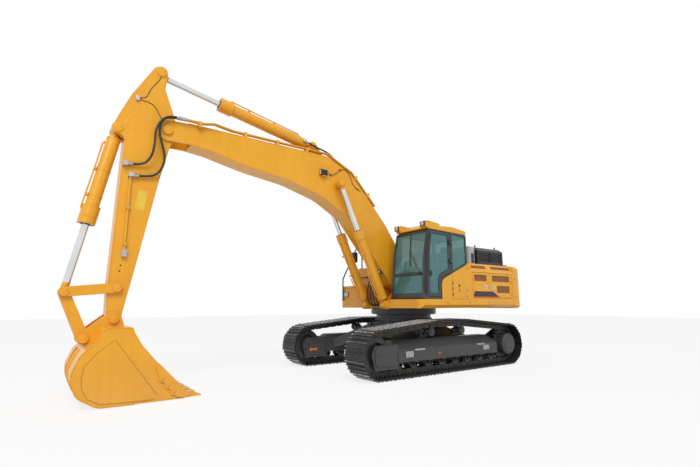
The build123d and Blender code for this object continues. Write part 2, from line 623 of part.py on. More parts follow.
def left_panel():
    """Side panel whose front edge sweeps up behind the cab's door."""
    (x0, z0), (x1, z1), (x2, z2) = SHOULDER
    skin = slab([(x0, DECK_TOP, 0), (x1, z1, 190), (x2, z2, 60), (BAY_FRONT + RUNNING_GAP, z2, 0),
                 (BAY_FRONT + RUNNING_GAP, DECK_TOP, 0)], CAB_LEFT - CAB_WALL, CAB_LEFT)
    return skin


def tool_box():
    box = block(330, 810, -1470, -620, DECK_TOP, 1890)
    return fillet(box.edges().filter_by(Axis.Z), 40)


def fuel_tank():
    tank = block(BAY_FRONT + RUNNING_GAP, 320, -HALF_WIDTH, -520, DECK_TOP, 2377)
    return fillet(tank.edges().filter_by(Axis.X).sort_by(Axis.Z)[-2:], 80)


def tube(points, diameter, radius):
    path = FilletPolyline(*points, radius=radius)
    section = Plane(origin=path @ 0, z_dir=path % 0) * Circle(diameter / 2)
    return sweep(section, path=path)


def handrails():
    front = tube([(842, RAIL_Y, DECK_TOP), (842, RAIL_Y, 2080), (330, RAIL_Y, 3050), (-200, RAIL_Y, 3050),
                  (-200, RAIL_Y, PANEL_TOP)], RAIL_DIAMETER, 120)
    rear = tube([(280, -1300, 2377), (280, -1300, 2900), (-700, -1300, 2900), (-700, -1300, 2377)], RAIL_DIAMETER, 100)
    return Compound([front, rear])


def mirrors():
    start, out = RAIL_Y - RAIL_DIAMETER / 2 - RUNNING_GAP, RAIL_Y - 60
    arm = tube([(600, start, 2538), (600, out, 2538), (430, out, 2600)], 26, 20)
    glass = Pos(430, out, 2690) * Rot(0, 0, 20) * Box(35, 170, 250)
    return glass + arm


# ---------------------------------------------------------------- cab
def cab_outline(inset):
    """Side of the cab."""
    return [
        (CAB_REAR + inset, CAB_FLOOR + inset, 0), (CAB_NOSE - inset, CAB_FLOOR + inset, 40),
        (CAB_BROW + 120 - inset, CAB_BEND, 900), (CAB_BROW - inset, CAB_TOP - inset, 90),
        (CAB_REAR + inset, CAB_TOP - inset - 40, 60),
    ]


def cab_shell():
    shell = slab(cab_outline(0), CAB_RIGHT, CAB_LEFT)
    shell -= slab(cab_outline(CAB_WALL), CAB_RIGHT + CAB_WALL, CAB_LEFT - CAB_WALL)
    low, high = CAB_RIGHT + CAB_WALL, CAB_LEFT - CAB_WALL
    for bottom, top in PANES:
        shell -= block(CAB_BROW - 300, CAB_NOSE + 10, low, high, bottom, top)
    shell -= block(CAB_REAR - 50, CAB_REAR + 100, low, high, *REAR_WINDOW)
    shell -= slab(right_window(), CAB_RIGHT - 20, CAB_RIGHT + 90)
    x1, z1 = SHOULDER[1]
    rear = CAB_REAR - 10
    swept = slab([(rear, CAB_FLOOR - 10, 0), (x1 + SEAM, CAB_FLOOR - 10, 0), (x1 + SEAM, z1 + SEAM, 190),
                  (rear, shoulder_height(rear) + SEAM, 0)], CAB_LEFT - CAB_WALL - 0.1, CAB_LEFT + 10)
    shell -= swept
    shell -= slab(door_rows(-SEAM), CAB_LEFT - CAB_WALL - 10, CAB_LEFT + 10)
    shell -= slab(quarter_window(), CAB_LEFT - CAB_WALL - 10, CAB_LEFT + 10)
    for z in HINGE_Z:
        for low in (z - HINGE_HALF - RUNNING_GAP - 14, z + HINGE_HALF + RUNNING_GAP):
            shell += block(B_PILLAR - 50, B_PILLAR - 10, CAB_LEFT - 4, DOOR_HINGE_Y + 14, low, low + 14)
            shell += block(B_PILLAR - 12, B_PILLAR + 16, CAB_LEFT + 8, DOOR_HINGE_Y + 14, low, low + 14)
    return shell


def right_window():
    return [(CAB_REAR + 60, 2200, 60), (500, 2200, 60), (470, CAB_TOP - 70, 90), (CAB_REAR + 60, CAB_TOP - 100, 60)]


def quarter_window():
    """Window behind the door, down to the swept panel."""
    front, rear = B_PILLAR - 62, CAB_REAR + WINDOW_FRAME
    return [(rear, shoulder_height(rear) + WINDOW_FRAME, 40), (front, shoulder_height(front) + WINDOW_FRAME, 50),
            (front, CAB_TOP - 60, 60), (rear, CAB_TOP - 90, 60)]


def shoulder_height(x):
    """Height of the swept panel's slanted edge."""
    (x1, z1), (x2, z2) = SHOULDER[1:]
    return z1 + (z2 - z1) * (x - x1) / (x2 - x1)


def door_rows(inset):
    """Door outline: x, z, corner radius."""
    x1, z1 = SHOULDER[1]
    low, high = DECK_TOP + 55 + inset, CAB_TOP - 25 - inset
    return [
        (x1 + 30 + inset, low, 40), (672 - inset, low, 60), (645 - inset, CAB_BEND, 900), (575 - inset, high, 80),
        (B_PILLAR + inset, high - 15, 60), (B_PILLAR + inset, shoulder_height(B_PILLAR) + 45 + inset, 40),
        (x1 + 30 + inset, z1 + 35 + inset, 170),
    ]


def cab_door():
    door = slab(door_rows(0), CAB_LEFT - CAB_WALL, CAB_LEFT)
    door -= slab(door_rows(DOOR_FRAME), CAB_LEFT - CAB_WALL - 10, CAB_LEFT + 10)
    for z in HINGE_Z:
        door += shaft_z(B_PILLAR + 8, DOOR_HINGE_Y, 14, z - HINGE_HALF, z + HINGE_HALF)
        door += block(B_PILLAR, B_PILLAR + 50, CAB_LEFT - 2, DOOR_HINGE_Y + 6, z - 30, z + 30)
    return door


def shaft_z(x, y, radius, z_low, z_high):
    return Pos(x, y, (z_low + z_high) / 2) * Cylinder(radius, z_high - z_low)


def cab_roof():
    """Cap over the cab with its crown towards the front."""
    rows = [(CAB_REAR - 5, CAB_TOP - 40 + RUNNING_GAP, 0), (CAB_BROW - 60, CAB_TOP + RUNNING_GAP, 0),
            (CAB_BROW + 20, CAB_TOP + 10, 0), (CAB_BROW + 10, CAB_TOP + 60, 30), (ROOF_PEAK_X, ROOF_PEAK, 400),
            (CAB_REAR - 5, CAB_TOP + 45, 40)]
    cap = slab(rows, CAB_RIGHT + 5, CAB_LEFT - 5)
    return cap


def roof_lamps():
    lamps = []
    rows = [(CAB_BROW - 380, CAB_TOP + 60, 0), (CAB_BROW + 70, CAB_TOP + 45, 10), (CAB_BROW + 76, CAB_TOP + 165, 15),
            (CAB_BROW - 20, CAB_TOP + 172, 60), (CAB_BROW - 380, CAB_TOP + 135, 40)]
    for y in (CAB_RIGHT + 90, CAB_LEFT - 90):
        lamps.append(slab(rows, y - 85, y + 85) - cab_roof())
    return Compound(lamps)


def cab_glass():
    low, high = CAB_RIGHT + CAB_WALL, CAB_LEFT - CAB_WALL
    sheet = slab(cab_outline(12), low, high) - slab(cab_outline(20), low - 1, high + 1)
    panes = [sheet & block(CAB_BROW - 300, CAB_NOSE, low + RUNNING_GAP, high - RUNNING_GAP,
                           bottom + RUNNING_GAP, top - RUNNING_GAP) for bottom, top in PANES]
    rear = block(CAB_REAR + 12, CAB_REAR + 20, low, high, *REAR_WINDOW)
    right = slab(right_window(), CAB_RIGHT + 12, CAB_RIGHT + 20)
    quarter = slab(quarter_window(), CAB_LEFT - 20, CAB_LEFT - 12)
    return Compound(panes + [rear, right, quarter])


def door_glass():
    return slab(door_rows(DOOR_FRAME), CAB_LEFT - 20, CAB_LEFT - 12)


def seat():
    base = block(-420, 60, 740, 1230, CAB_FLOOR + CAB_WALL, 1860)
    cushion = fillet(block(-440, 110, 720, 1250, 1860, 1990).edges(), 40)
    back = Pos(-400, 985, 2300) * Rot(0, -10, 0) * Box(130, 500, 640)
    return base + cushion + fillet(back.edges(), 45)


def console():
    boxes = []
    for y in (640, 1330):
        stand = block(-300, 250, y - 70, y + 70, CAB_FLOOR + CAB_WALL, 2080)
        lever = Pos(190, y, 2080) * Cylinder(18, 240, align=(Align.CENTER, Align.CENTER, Align.MIN))
        boxes.append(stand + lever)
    return Compound(boxes)


# ---------------------------------------------------------------- boom
def boom():
    rows = [
        (5400, 4296, 0), (5000, 4255, 400), (4200, 4085, 2000), (3300, 3965, 1500), (2500, 3740, 1200),
        (1830, 3370, 400), (1129, 2540, 600), (560, 1880, 60), (200, 1790, 165), (40, 1960, 140), (330, 2750, 900),
        (713, 3290, 900), (1229, 3860, 900), (1750, 4400, 500), (2400, BOOM_TOP, 400), (5400, BOOM_TOP, 0),
    ]
    face = outline(rows)
    body = upright(face, -BOOM_HALF, BOOM_HALF)
    cavity = upright(offset(face, amount=-22), -BOOM_HALF + BOOM_PLATE, BOOM_HALF - BOOM_PLATE)
    body -= cavity
    body -= block(BOX_END, 6100, -FORK_INNER, FORK_INNER, 4000, 5000)
    body += block(BOX_END - 30, BOX_END, -BOOM_HALF + 5, BOOM_HALF - 5, 4300, BOOM_TOP - 5)
    fork = slab([(5100, 4300, 0), (5560, 4292, 0), (5750, 4280, 120), (5945, 4380, 110), (5945, 4600, 110),
                 (5700, 4665, 200), (5100, BOOM_TOP, 0)], FORK_INNER, BOOM_HALF)
    body += both(fork)
    body += shaft(ARM_PIVOT, ARM_PIN, -BOOM_HALF - 25, BOOM_HALF + 25)
    body += both(shaft(ARM_PIVOT, 105, FORK_INNER - RUNNING_GAP, BOOM_HALF + 12))
    foot = shaft(BOOM_FOOT, 165, -WEB_INNER + RUNNING_GAP, WEB_INNER - RUNNING_GAP)
    body += foot
    body -= shaft(BOOM_FOOT, FOOT_PIN + PIN_GAP, -300, 300)
    body += shaft(BOOM_LIFT_ROD, 110, -BOOM_HALF - 7, BOOM_HALF + 7)
    ear = hull([(*ARM_CROWD_BASE, 100), (2440, 4640, 40), (2840, 4650, 40)], EYE_SLOT, EYE_SLOT + 34)
    body += both(ear)
    body += shaft(ARM_CROWD_BASE, 50, -EYE_SLOT - 50, EYE_SLOT + 50)
    return body


def boom_pipes():
    """Steel pipes along the boom's top with their clamps; the left pair ends at the tip's hoses."""
    runs = []
    for y in (130, 175):
        start = [(1010, y, 3735), (1144, y, 3880), (1690, y, 4450), (2370, y, BOOM_TOP + PIPE_RISE)]
        right = [(x, -along, z) for x, along, z in start]
        runs.append(tube(right + [(4950, -y, BOOM_TOP + PIPE_RISE)], 38, 130))
        out = y + PIPE_OUT
        left = start + [(4560, y, BOOM_TOP + PIPE_RISE), (4950, out, BOOM_TOP + PIPE_RISE),
                        (5150, out, BOOM_TOP + PIPE_PORT_RISE), (PIPE_END - 60, out, BOOM_TOP + PIPE_PORT_RISE)]
        runs.append(tube(left, 38, 130))
        runs.append(Pos(PIPE_END - 45, out, BOOM_TOP + PIPE_PORT_RISE) * Rot(0, 90, 0) * Cylinder(26, 90))
    for x in (2900, 3600, 4300):
        for side in (-1, 1):
            runs.append(block(x - 30, x + 30, side * 152 - 48, side * 152 + 48, BOOM_TOP, BOOM_TOP + PIPE_RISE + 28))
    runs.append(block(5180, 5240, BOOM_HALF, 175 + PIPE_OUT + 20, BOOM_TOP - 60, BOOM_TOP + 50))
    return Part() + runs


def boom_lamp():
    body = fillet(block(2440, 2590, BOOM_HALF, BOOM_HALF + 90, 4215, 4345).edges().filter_by(Axis.X), 25)
    return body


# ---------------------------------------------------------------- arm
def arm_body():
    rows = [
        (6437, 1215, 100), (6452, 1700, 0), (6400, 4205, 40), (6480, 4245, 0), (6600, 4335, 95), (6520, 4560, 60),
        (6350, 4990, 300), (6020, 5600, 100), (5905, 5665, 110), (5795, 5560, 100), (5825, 5235, 100),
        (5645, 4760, 100), (5560, 4470, 185), (5690, 4150, 400), (5822, 3513, 3000), (6105, 1887, 2000),
        (6227, 1215, 100), (6332, 1108, 100),
    ]
    face = outline(rows)
    body = upright(face, -ARM_HALF, ARM_HALF)
    inner = outline([
        (6420, 1420, 0), (6375, 4150, 60), (6340, 4880, 200), (6120, 5240, 100), (5870, 5240, 100),
        (5790, 4780, 100), (5780, 4300, 300), (5860, 3513, 3000), (6150, 1900, 1500), (6230, 1420, 0),
    ])
    body -= upright(inner, -ARM_HALF + ARM_PLATE, ARM_HALF - ARM_PLATE)
    crowd_slot = slab([(5600, 5330, 0), (6250, 5330, 0), (6250, 5800, 0), (5600, 5800, 0)], -EYE_SLOT, EYE_SLOT)
    body -= crowd_slot
    bucket_slot = slab([(6400, 4160, 0), (6800, 4100, 0), (6800, 4620, 0), (6440, 4620, 40), (6385, 4420, 60)],
                       -EYE_SLOT, EYE_SLOT)
    body -= bucket_slot
    body += both(shaft(ARM_CROWD_ROD, 100, EYE_SLOT, ARM_HALF + 10))
    body += both(shaft(BUCKET_BASE, 95, EYE_SLOT, ARM_HALF + 4))
    body += shaft(BUCKET_BASE, 50, -EYE_SLOT - 20, EYE_SLOT + 20)
    body += shaft(ARM_PIVOT, 185, -FORK_INNER + 2 * RUNNING_GAP, FORK_INNER - 2 * RUNNING_GAP)
    body -= shaft(ARM_PIVOT, ARM_PIN + PIN_GAP, -300, 300)
    body += shaft(GUIDE_PIVOT, 80, -GUIDE_BAND[0] + RUNNING_GAP, GUIDE_BAND[0] - RUNNING_GAP)
    body += shaft(GUIDE_PIVOT, 45, -GUIDE_BAND[1] - 12, GUIDE_BAND[1] + 12)
    body += shaft(BUCKET_PIVOT, 104, -BUCKET_EAR[0] + RUNNING_GAP, BUCKET_EAR[0] - RUNNING_GAP)
    body -= shaft(BUCKET_PIVOT, 50 + PIN_GAP, -300, 300)
    return body


def arm_pipe():
    """Pipe, valve and hose ports on the arm's left side."""
    face = ARM_HALF
    line = Pos(6262, face + 24, 2915) * Cylinder(18, 1250)
    for z in (2400, 3000):
        line += block(6232, 6292, face, face + 46, z - 25, z + 25)
    line += block(6225, 6299, face, face + 60, 2190, 2300)
    line += block(6225, 6300, face, face + 75, 3525, 3595)
    port = block(6330, 6395, face, face + 75, 3700, 3790)
    return Compound([line, port])


# ---------------------------------------------------------------- cylinders
def barrel(base, tip, y, radius, eye_radius, eye_half, length, gland, pin):
    """Cylinder tube with its base eye; gland is radius, length, rod radius."""
    body = bar(base, tip, y, radius, eye_radius + 70, length)
    body += bar(base, tip, y, gland[0], length - gland[1], length)
    body += bar(base, tip, y, eye_half - 2, eye_radius * 0.7, eye_radius + 80)
    body += shaft(base, eye_radius, y - eye_half, y + eye_half)
    body -= shaft(base, pin + PIN_GAP, y - eye_half - 50, y + eye_half + 50)
    body -= bar(base, tip, y, gland[2] + RUNNING_GAP, eye_radius + 110, length + 10)
    return body


def rod(base, tip, y, radius, eye_radius, eye_half, start):
    total = distance(base, tip)
    body = bar(base, tip, y, radius, start, total - eye_radius * 0.6)
    body += shaft(tip, eye_radius, y - eye_half, y + eye_half)
    return body


# ---------------------------------------------------------------- bucket and its linkage
def guide_links():
    links = []
    for low, high in (GUIDE_BAND, (-GUIDE_BAND[1], -GUIDE_BAND[0])):
        link = hull([(*GUIDE_PIVOT, 78), (*LINK_JOINT, 72)], low, high)
        link -= shaft(GUIDE_PIVOT, 45 + PIN_GAP, low - 5, high + 5)
        links.append(link)
    return Compound(links)


def bucket_link():
    body = None
    for low, high in (LINK_BAND, (-LINK_BAND[1], -LINK_BAND[0])):
        leg = hull([(*LINK_JOINT, 74), (*BUCKET_LINK_PIN, 82)], low, high)
        body = leg if body is None else body + leg
    body += shaft((BUCKET_LINK_PIN[0] + 75, BUCKET_LINK_PIN[1] + 172), 45, -LINK_BAND[0] - 5, LINK_BAND[0] + 5)
    body += shaft(BUCKET_LINK_PIN, 82, -LINK_BAND[1], LINK_BAND[1])
    body -= shaft(BUCKET_LINK_PIN, 45 + PIN_GAP, -300, 300)
    return body


def from_pivot(rows):
    """Rows of x, z, radius measured from the bucket's pivot."""
    return [(BUCKET_PIVOT[0] + x, BUCKET_PIVOT[1] + z, r) for x, z, r in rows]


def bucket():
    outer = from_pivot([
        (-200, -112, 40), (170, -112, 50), (235, -290, 100), (440, -480, 200), (552, -770, 260),
        (430, -1040, 240), (170, -1200, 260), (-300, -1205, 900), (-990, -1205, 0), (-952, -1075, 20),
        (-586, -663, 40), (-343, -383, 150), (-231, -195, 60),
    ])
    inner = from_pivot([
        (-120, -250, 40), (150, -260, 90), (400, -510, 180), (520, -770, 235), (405, -1020, 215),
        (160, -1176, 235), (-300, -1180, 900), (-1100, -1180, 0), (-1400, -1100, 0), (-700, -250, 0),
    ])
    shell = slab(outer, -BUCKET_HALF, BUCKET_HALF) - slab(inner, -BUCKET_HALF + SIDE_PLATE, BUCKET_HALF - SIDE_PLATE)
    px, pz = BUCKET_PIVOT
    kx, kz = BUCKET_LINK_PIN
    for low, high in (BUCKET_EAR, (-BUCKET_EAR[1], -BUCKET_EAR[0])):
        ear = hull([(px, pz, 115), (kx, kz, 92), (px + 260, pz - 330, 60), (px - 120, pz - 160, 50)], low, high)
        shell += ear
    shell += shaft(BUCKET_PIVOT, 50, -BUCKET_EAR[1] - 30, BUCKET_EAR[1] + 30)
    shell += shaft(BUCKET_LINK_PIN, 45, -BUCKET_EAR[1] - 30, BUCKET_EAR[1] + 30)
    cutter = from_pivot([(-1060, -1145, 25), (-1000, -1195, 20), (-860, -1160, 40), (-600, -855, 40), (-545, -690, 15),
                         (-590, -655, 15)])
    for low, high in ((BUCKET_HALF, BUCKET_HALF + CUTTER_THICK), (-BUCKET_HALF - CUTTER_THICK, -BUCKET_HALF)):
        shell += slab(cutter, low, high)
        for x, z in CUTTER_LOBES:
            shell += shaft((px + x, pz + z), 48, low, high)
    return shell


def bucket_teeth():
    px, pz = BUCKET_PIVOT
    rows = from_pivot([(-1259, -1202, 0), (-1259, -1188, 0), (-1120, -1128, 0), (-985, -1105, 10), (-900, -1150, 0),
                       (-900, -1179.7, 0), (-990.3, -1179.7, 0), (-990.3, -1205, 0)])
    teeth = []
    span = 2 * (BUCKET_HALF - SIDE_PLATE - 75)
    for k in range(TOOTH_COUNT):
        y = -span / 2 + k * span / (TOOTH_COUNT - 1)
        teeth.append(slab(rows, y - 52, y + 52))
    return Compound(teeth)


# ---------------------------------------------------------------- hoses
TIP_HOSES = {
    # x, y, z from the pipe ends at the boom's tip
    "hose_bucket": [(PIPE_END, 285, 4720), (5720, 285, 4720), (5880, 325, 4600), (5965, 335, 4380), (5955, 330, 4140),
                    (5980, 300, 3910), (6100, 212, 3745), (6330, 212, 3745)],
    "hose_arm": [(PIPE_END, 240, 4720), (5720, 240, 4720), (5860, 262, 4620), (5900, 270, 4400), (5830, 268, 4170),
                 (5760, 262, 3940), (5800, 240, 3720), (5950, 212, 3560), (6225, 212, 3560)],
}


# ---------------------------------------------------------------- all nodes
def cylinder_nodes():
    nodes = {}
    for side, name in ((1, "left"), (-1, "right")):
        y = side * LIFT_Y
        nodes["boom_cylinder_" + name] = barrel(BOOM_LIFT_BASE, BOOM_LIFT_ROD, y, 104, 95, LIFT_EYE_HALF,
                                                1822, (118, 200, LIFT_ROD), LIFT_PIN)
        lift = rod(BOOM_LIFT_BASE, BOOM_LIFT_ROD, y, LIFT_ROD, 95, LIFT_EYE_HALF, 1040)
        ends = sorted((side * (BOOM_HALF + 7 + RUNNING_GAP), side * (LIFT_Y + LIFT_EYE_HALF + 12)))
        lift += shaft(BOOM_LIFT_ROD, 50, ends[0], ends[1])
        nodes["boom_rod_" + name] = lift
    nodes["arm_cylinder"] = barrel(ARM_CROWD_BASE, ARM_CROWD_ROD, 0, 114, 100, EYE_HALF, 2136, (138, 260, CROWD_ROD), 50)
    nodes["arm_rod"] = rod(ARM_CROWD_BASE, ARM_CROWD_ROD, 0, CROWD_ROD, 95, EYE_HALF, 1130)
    nodes["bucket_cylinder"] = barrel(BUCKET_BASE, LINK_JOINT, 0, 103, 92, EYE_HALF, 1680, (130, 300, BUCKET_ROD), 50)
    nodes["bucket_rod"] = rod(BUCKET_BASE, LINK_JOINT, 0, BUCKET_ROD, 74, EYE_HALF, 900)
    return nodes


def build():
    nodes = {}
    left = {
        "track": shoe_ring(), "track_chain": link_rails(), "sprocket": sprocket(), "idler": idler(),
        "track_rollers": track_rollers(), "track_frame": track_frame(),
    }
    for name, shape in left.items():
        nodes[name + "_left"] = shape
        nodes[name + "_right"] = mirror(shape, about=Plane.XZ)
    nodes["centre_frame"] = centre_frame()
    nodes["swing_bearing"] = swing_bearing()
    nodes["revolving_frame"] = revolving_frame()
    nodes["slew_ring"] = slew_ring()
    nodes["counterweight"] = counterweight()
    nodes["engine_bay"] = engine_bay()
    nodes["engine_block"] = engine_block()
    nodes["left_panel"] = left_panel()
    nodes["left_front_door"] = left_front_door()
    nodes["left_rear_door"] = left_rear_door()
    nodes["right_pump_door"] = right_pump_door()
    nodes["engine_hood"] = engine_hood()
    nodes["air_box"] = air_box()
    nodes["tool_box"] = tool_box()
    nodes["fuel_tank"] = fuel_tank()
    nodes["handrails"] = handrails()
    nodes["mirrors"] = mirrors()
    nodes["cab_shell"] = cab_shell()
    nodes["cab_roof"] = cab_roof()
    nodes["cab_glass"] = cab_glass()
    nodes["cab_door"] = cab_door()
    nodes["door_glass"] = door_glass()
    nodes["roof_lamps"] = roof_lamps()
    nodes["seat"] = seat()
    nodes["console"] = console()
    nodes["boom"] = boom()
    nodes["boom_pipes"] = boom_pipes()
    nodes["boom_lamp"] = boom_lamp()
    nodes["arm"] = arm_body()
    nodes["arm_pipe"] = arm_pipe()
    nodes.update(cylinder_nodes())
    nodes["guide_links"] = guide_links()
    nodes["bucket_link"] = bucket_link()
    nodes["bucket"] = bucket()
    nodes["bucket_teeth"] = bucket_teeth()
    for name, points in TIP_HOSES.items():
        nodes[name] = hose(points, 40)
    return nodes


os.makedirs("parts", exist_ok=True)
for name, shape in build().items():
    export_step(shape, f"parts/{name}.step")
    print(name)
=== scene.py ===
import json
import math
from math import cos, pi, radians, sin

import bmesh
import bpy
from mathutils import Matrix, Vector

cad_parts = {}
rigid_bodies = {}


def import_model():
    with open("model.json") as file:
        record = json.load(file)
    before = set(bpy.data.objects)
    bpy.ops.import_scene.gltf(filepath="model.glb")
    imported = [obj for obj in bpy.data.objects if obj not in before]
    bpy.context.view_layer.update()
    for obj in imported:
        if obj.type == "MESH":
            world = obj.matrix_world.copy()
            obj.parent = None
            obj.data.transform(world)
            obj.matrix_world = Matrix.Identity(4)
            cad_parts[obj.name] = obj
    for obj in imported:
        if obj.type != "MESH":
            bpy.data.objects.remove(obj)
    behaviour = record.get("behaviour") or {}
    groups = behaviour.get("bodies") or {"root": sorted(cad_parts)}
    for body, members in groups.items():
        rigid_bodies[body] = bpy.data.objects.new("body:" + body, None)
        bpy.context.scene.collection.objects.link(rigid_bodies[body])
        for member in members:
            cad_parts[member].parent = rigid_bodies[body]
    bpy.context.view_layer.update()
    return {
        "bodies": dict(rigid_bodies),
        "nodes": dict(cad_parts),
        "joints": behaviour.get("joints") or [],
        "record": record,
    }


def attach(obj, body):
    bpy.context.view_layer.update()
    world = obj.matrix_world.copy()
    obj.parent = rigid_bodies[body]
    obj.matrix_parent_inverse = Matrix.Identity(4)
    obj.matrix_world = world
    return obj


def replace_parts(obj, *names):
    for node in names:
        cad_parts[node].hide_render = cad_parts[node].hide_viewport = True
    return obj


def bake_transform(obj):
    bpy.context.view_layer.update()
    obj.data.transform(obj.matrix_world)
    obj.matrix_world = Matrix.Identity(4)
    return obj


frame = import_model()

nodes = frame["nodes"]
print("frame loaded:", len(nodes), "nodes")


# camera, light and floor
studio = {
    "cameraPlace": (7.254, 7.794, 1.43),
    "cameraYaw": 35.86,            # degrees, from the -Y direction towards -X
    "cameraPitch": 9.53,
    "cameraRoll": -0.12,
    "lens": 21.62,
    "sensor": 36.0,
    "far": 300.0,
    "keyPlace": (16.0, 15.0, 17.0),
    "keyAim": (1.5, 0.0, 1.5),
    "keySize": 12.0,
    "keyPower": 2250.0,
    "sunTurn": (38.0, 8.0, 150.0),
    "sunStrength": 0.95,
    "sunSpread": 25.0,             # degrees
    "skyForObjects": 0.46,
    "floorSize": 90.0,
    "floorColour": (0.86, 0.86, 0.86, 1.0),
    "floorGlow": 0.8,
}


def addObject(name, data):
    made = bpy.data.objects.new(name, data)
    bpy.context.scene.collection.objects.link(made)
    return made


def lookAlong(direction, roll=0.0):
    turn = direction.to_track_quat("-Z", "Y").to_matrix().to_4x4()
    return turn @ Matrix.Rotation(radians(roll), 4, "Z")


def makeCamera():
    data = bpy.data.cameras.new("camera")
    data.lens = studio["lens"]
    data.sensor_width = studio["sensor"]
    data.sensor_fit = "HORIZONTAL"
    data.clip_end = studio["far"]
    camera = addObject("camera", data)
    yaw, pitch = radians(studio["cameraYaw"]), radians(studio["cameraPitch"])
    aim = Vector((-sin(yaw) * cos(pitch), -cos(yaw) * cos(pitch), sin(pitch)))
    camera.matrix_world = Matrix.Translation(studio["cameraPlace"]) @ lookAlong(aim, studio["cameraRoll"])
    bpy.context.scene.camera = camera


def wireMaths(operation, swapped=False):
    # method that adds one Math node
    def apply(wire, other=None):
        first, second = (other, wire) if swapped else (wire, other)
        inputs = {0: first} if second is None else {0: first, 1: second}
        return wire.tree.add("ShaderNodeMath", {"operation": operation}, inputs)
    return apply


class Wire:
    # one output socket; arithmetic on it adds Math nodes to its tree
    __add__, __radd__ = wireMaths("ADD"), wireMaths("ADD", True)
    __sub__, __rsub__ = wireMaths("SUBTRACT"), wireMaths("SUBTRACT", True)
    __mul__, __pow__, __abs__ = wireMaths("MULTIPLY"), wireMaths("POWER"), wireMaths("ABSOLUTE")
    __gt__, __lt__ = wireMaths("GREATER_THAN"), wireMaths("LESS_THAN")
    least, most = wireMaths("MINIMUM"), wireMaths("MAXIMUM")
    root, sine = wireMaths("SQRT"), wireMaths("SINE")

    def __init__(self, tree, socket):
        self.tree = tree
        self.socket = socket

    def ramp(self, low, high, start=0.0, end=1.0):
        # from start to end while this value goes from low to high, smoothly and clamped
        settings = {"interpolation_type": "SMOOTHSTEP"}
        return self.tree.add("ShaderNodeMapRange", settings, {0: self, 1: low, 2: high, 3: start, 4: end})


class NodeTree:
    # nodes of a material, a world or a group
    def __init__(self, tree, owner=None):
        self.tree = tree
        self.owner = owner
        self.tree.nodes.clear()

    def add(self, kind, settings=None, inputs=None, output=0):
        node = self.tree.nodes.new(kind)
        for key, value in (settings or {}).items():
            if key == "stops":
                while len(node.color_ramp.elements) < len(value):
                    node.color_ramp.elements.new(0.5)
                for element, (place, colour) in zip(node.color_ramp.elements, value):
                    element.position = place
                    element.color = colour
            else:
                setattr(node, key, value)
        for key, value in (inputs or {}).items():
            socket = node.inputs[key]
            if isinstance(value, Wire):
                self.tree.links.new(value.socket, socket)
            else:
                socket.default_value = value
        return Wire(self, node.outputs[output])

    def output(self, wire, kind="ShaderNodeOutputMaterial"):
        node = self.tree.nodes.new(kind)
        self.tree.links.new(wire.socket, node.inputs["Surface"])

    def surface(self, inputs):
        self.output(self.add("ShaderNodeBsdfPrincipled", None, inputs))
        return self.owner

    def rays(self, *kinds):
        # 1 on rays of those kinds
        seen = 0.0
        for kind in kinds:
            seen = self.add("ShaderNodeLightPath", None, None, f"Is {kind} Ray").most(seen)
        return seen

    def split(self, wire):
        node = self.tree.nodes.new("ShaderNodeSeparateXYZ")
        self.tree.links.new(wire.socket, node.inputs[0])
        return [Wire(self, socket) for socket in node.outputs]

    def place(self):
        # position on the piece, whole and as three values
        spot = self.add("ShaderNodeTexCoord", None, None, "Object")
        return spot, self.split(spot)

    def facing(self):
        return self.split(self.add("ShaderNodeNewGeometry", None, None, "Normal"))

    def noise(self, spot, scale, detail=3.0, rough=0.5, stretch=None):
        if stretch:
            spot = self.add("ShaderNodeMapping", None, {"Vector": spot, "Scale": stretch})
        return self.add("ShaderNodeTexNoise", None,
                        {"Vector": spot, "Scale": scale, "Detail": detail, "Roughness": rough})

    def blend(self, factor, first, second):
        settings = {"data_type": "RGBA"}
        return self.add("ShaderNodeMix", settings, {0: factor, 6: first, 7: second}, 2)

    def bump(self, height, strength, distance):
        return self.add("ShaderNodeBump", None, {"Height": height, "Strength": strength,
                                                 "Distance": distance})


def treeOf(owner):
    owner.use_nodes = True
    return NodeTree(owner.node_tree, owner)


def makeStage():
    world = bpy.data.worlds.new("studio")
    bpy.context.scene.world = world
    tree = treeOf(world)
    strength = tree.rays("Camera", "Glossy", "Transmission").ramp(0.0, 1.0, studio["skyForObjects"], 1.0)
    sky = tree.add("ShaderNodeBackground", None, {"Color": (1.0, 1.0, 1.0, 1.0), "Strength": strength})
    tree.output(sky, "ShaderNodeOutputWorld")

    material = bpy.data.materials.new("floorPale")
    tree = treeOf(material)
    plain = tree.add("ShaderNodeBsdfDiffuse", None, {"Color": studio["floorColour"]})
    glow = tree.add("ShaderNodeEmission", None, {"Color": (1.0, 1.0, 1.0, 1.0), "Strength": 1.0})
    factor = tree.rays("Camera", "Glossy") * studio["floorGlow"]
    tree.output(tree.add("ShaderNodeMixShader", None, {0: factor, 1: plain, 2: glow}))
    half = studio["floorSize"] / 2
    mesh = bpy.data.meshes.new("floor")
    mesh.from_pydata([(-half, -half, 0), (half, -half, 0), (half, half, 0), (-half, half, 0)], [],
                     [(0, 1, 2, 3)])
    mesh.materials.append(material)
    floor = addObject("floor", mesh)

    key = bpy.data.lights.new("keyLight", "AREA")
    key.size = studio["keySize"]
    key.energy = studio["keyPower"]
    lamp = addObject("keyLight", key)
    aim = Vector(studio["keyAim"]) - Vector(studio["keyPlace"])
    lamp.matrix_world = Matrix.Translation(studio["keyPlace"]) @ lookAlong(aim)
    sun = bpy.data.lights.new("softSun", "SUN")
    sun.energy = studio["sunStrength"]
    sun.angle = radians(studio["sunSpread"])
    addObject("softSun", sun).rotation_euler = [radians(a) for a in studio["sunTurn"]]
    bpy.context.scene.view_settings.view_transform = "Standard"


makeCamera()
makeStage()
print("stage ready")


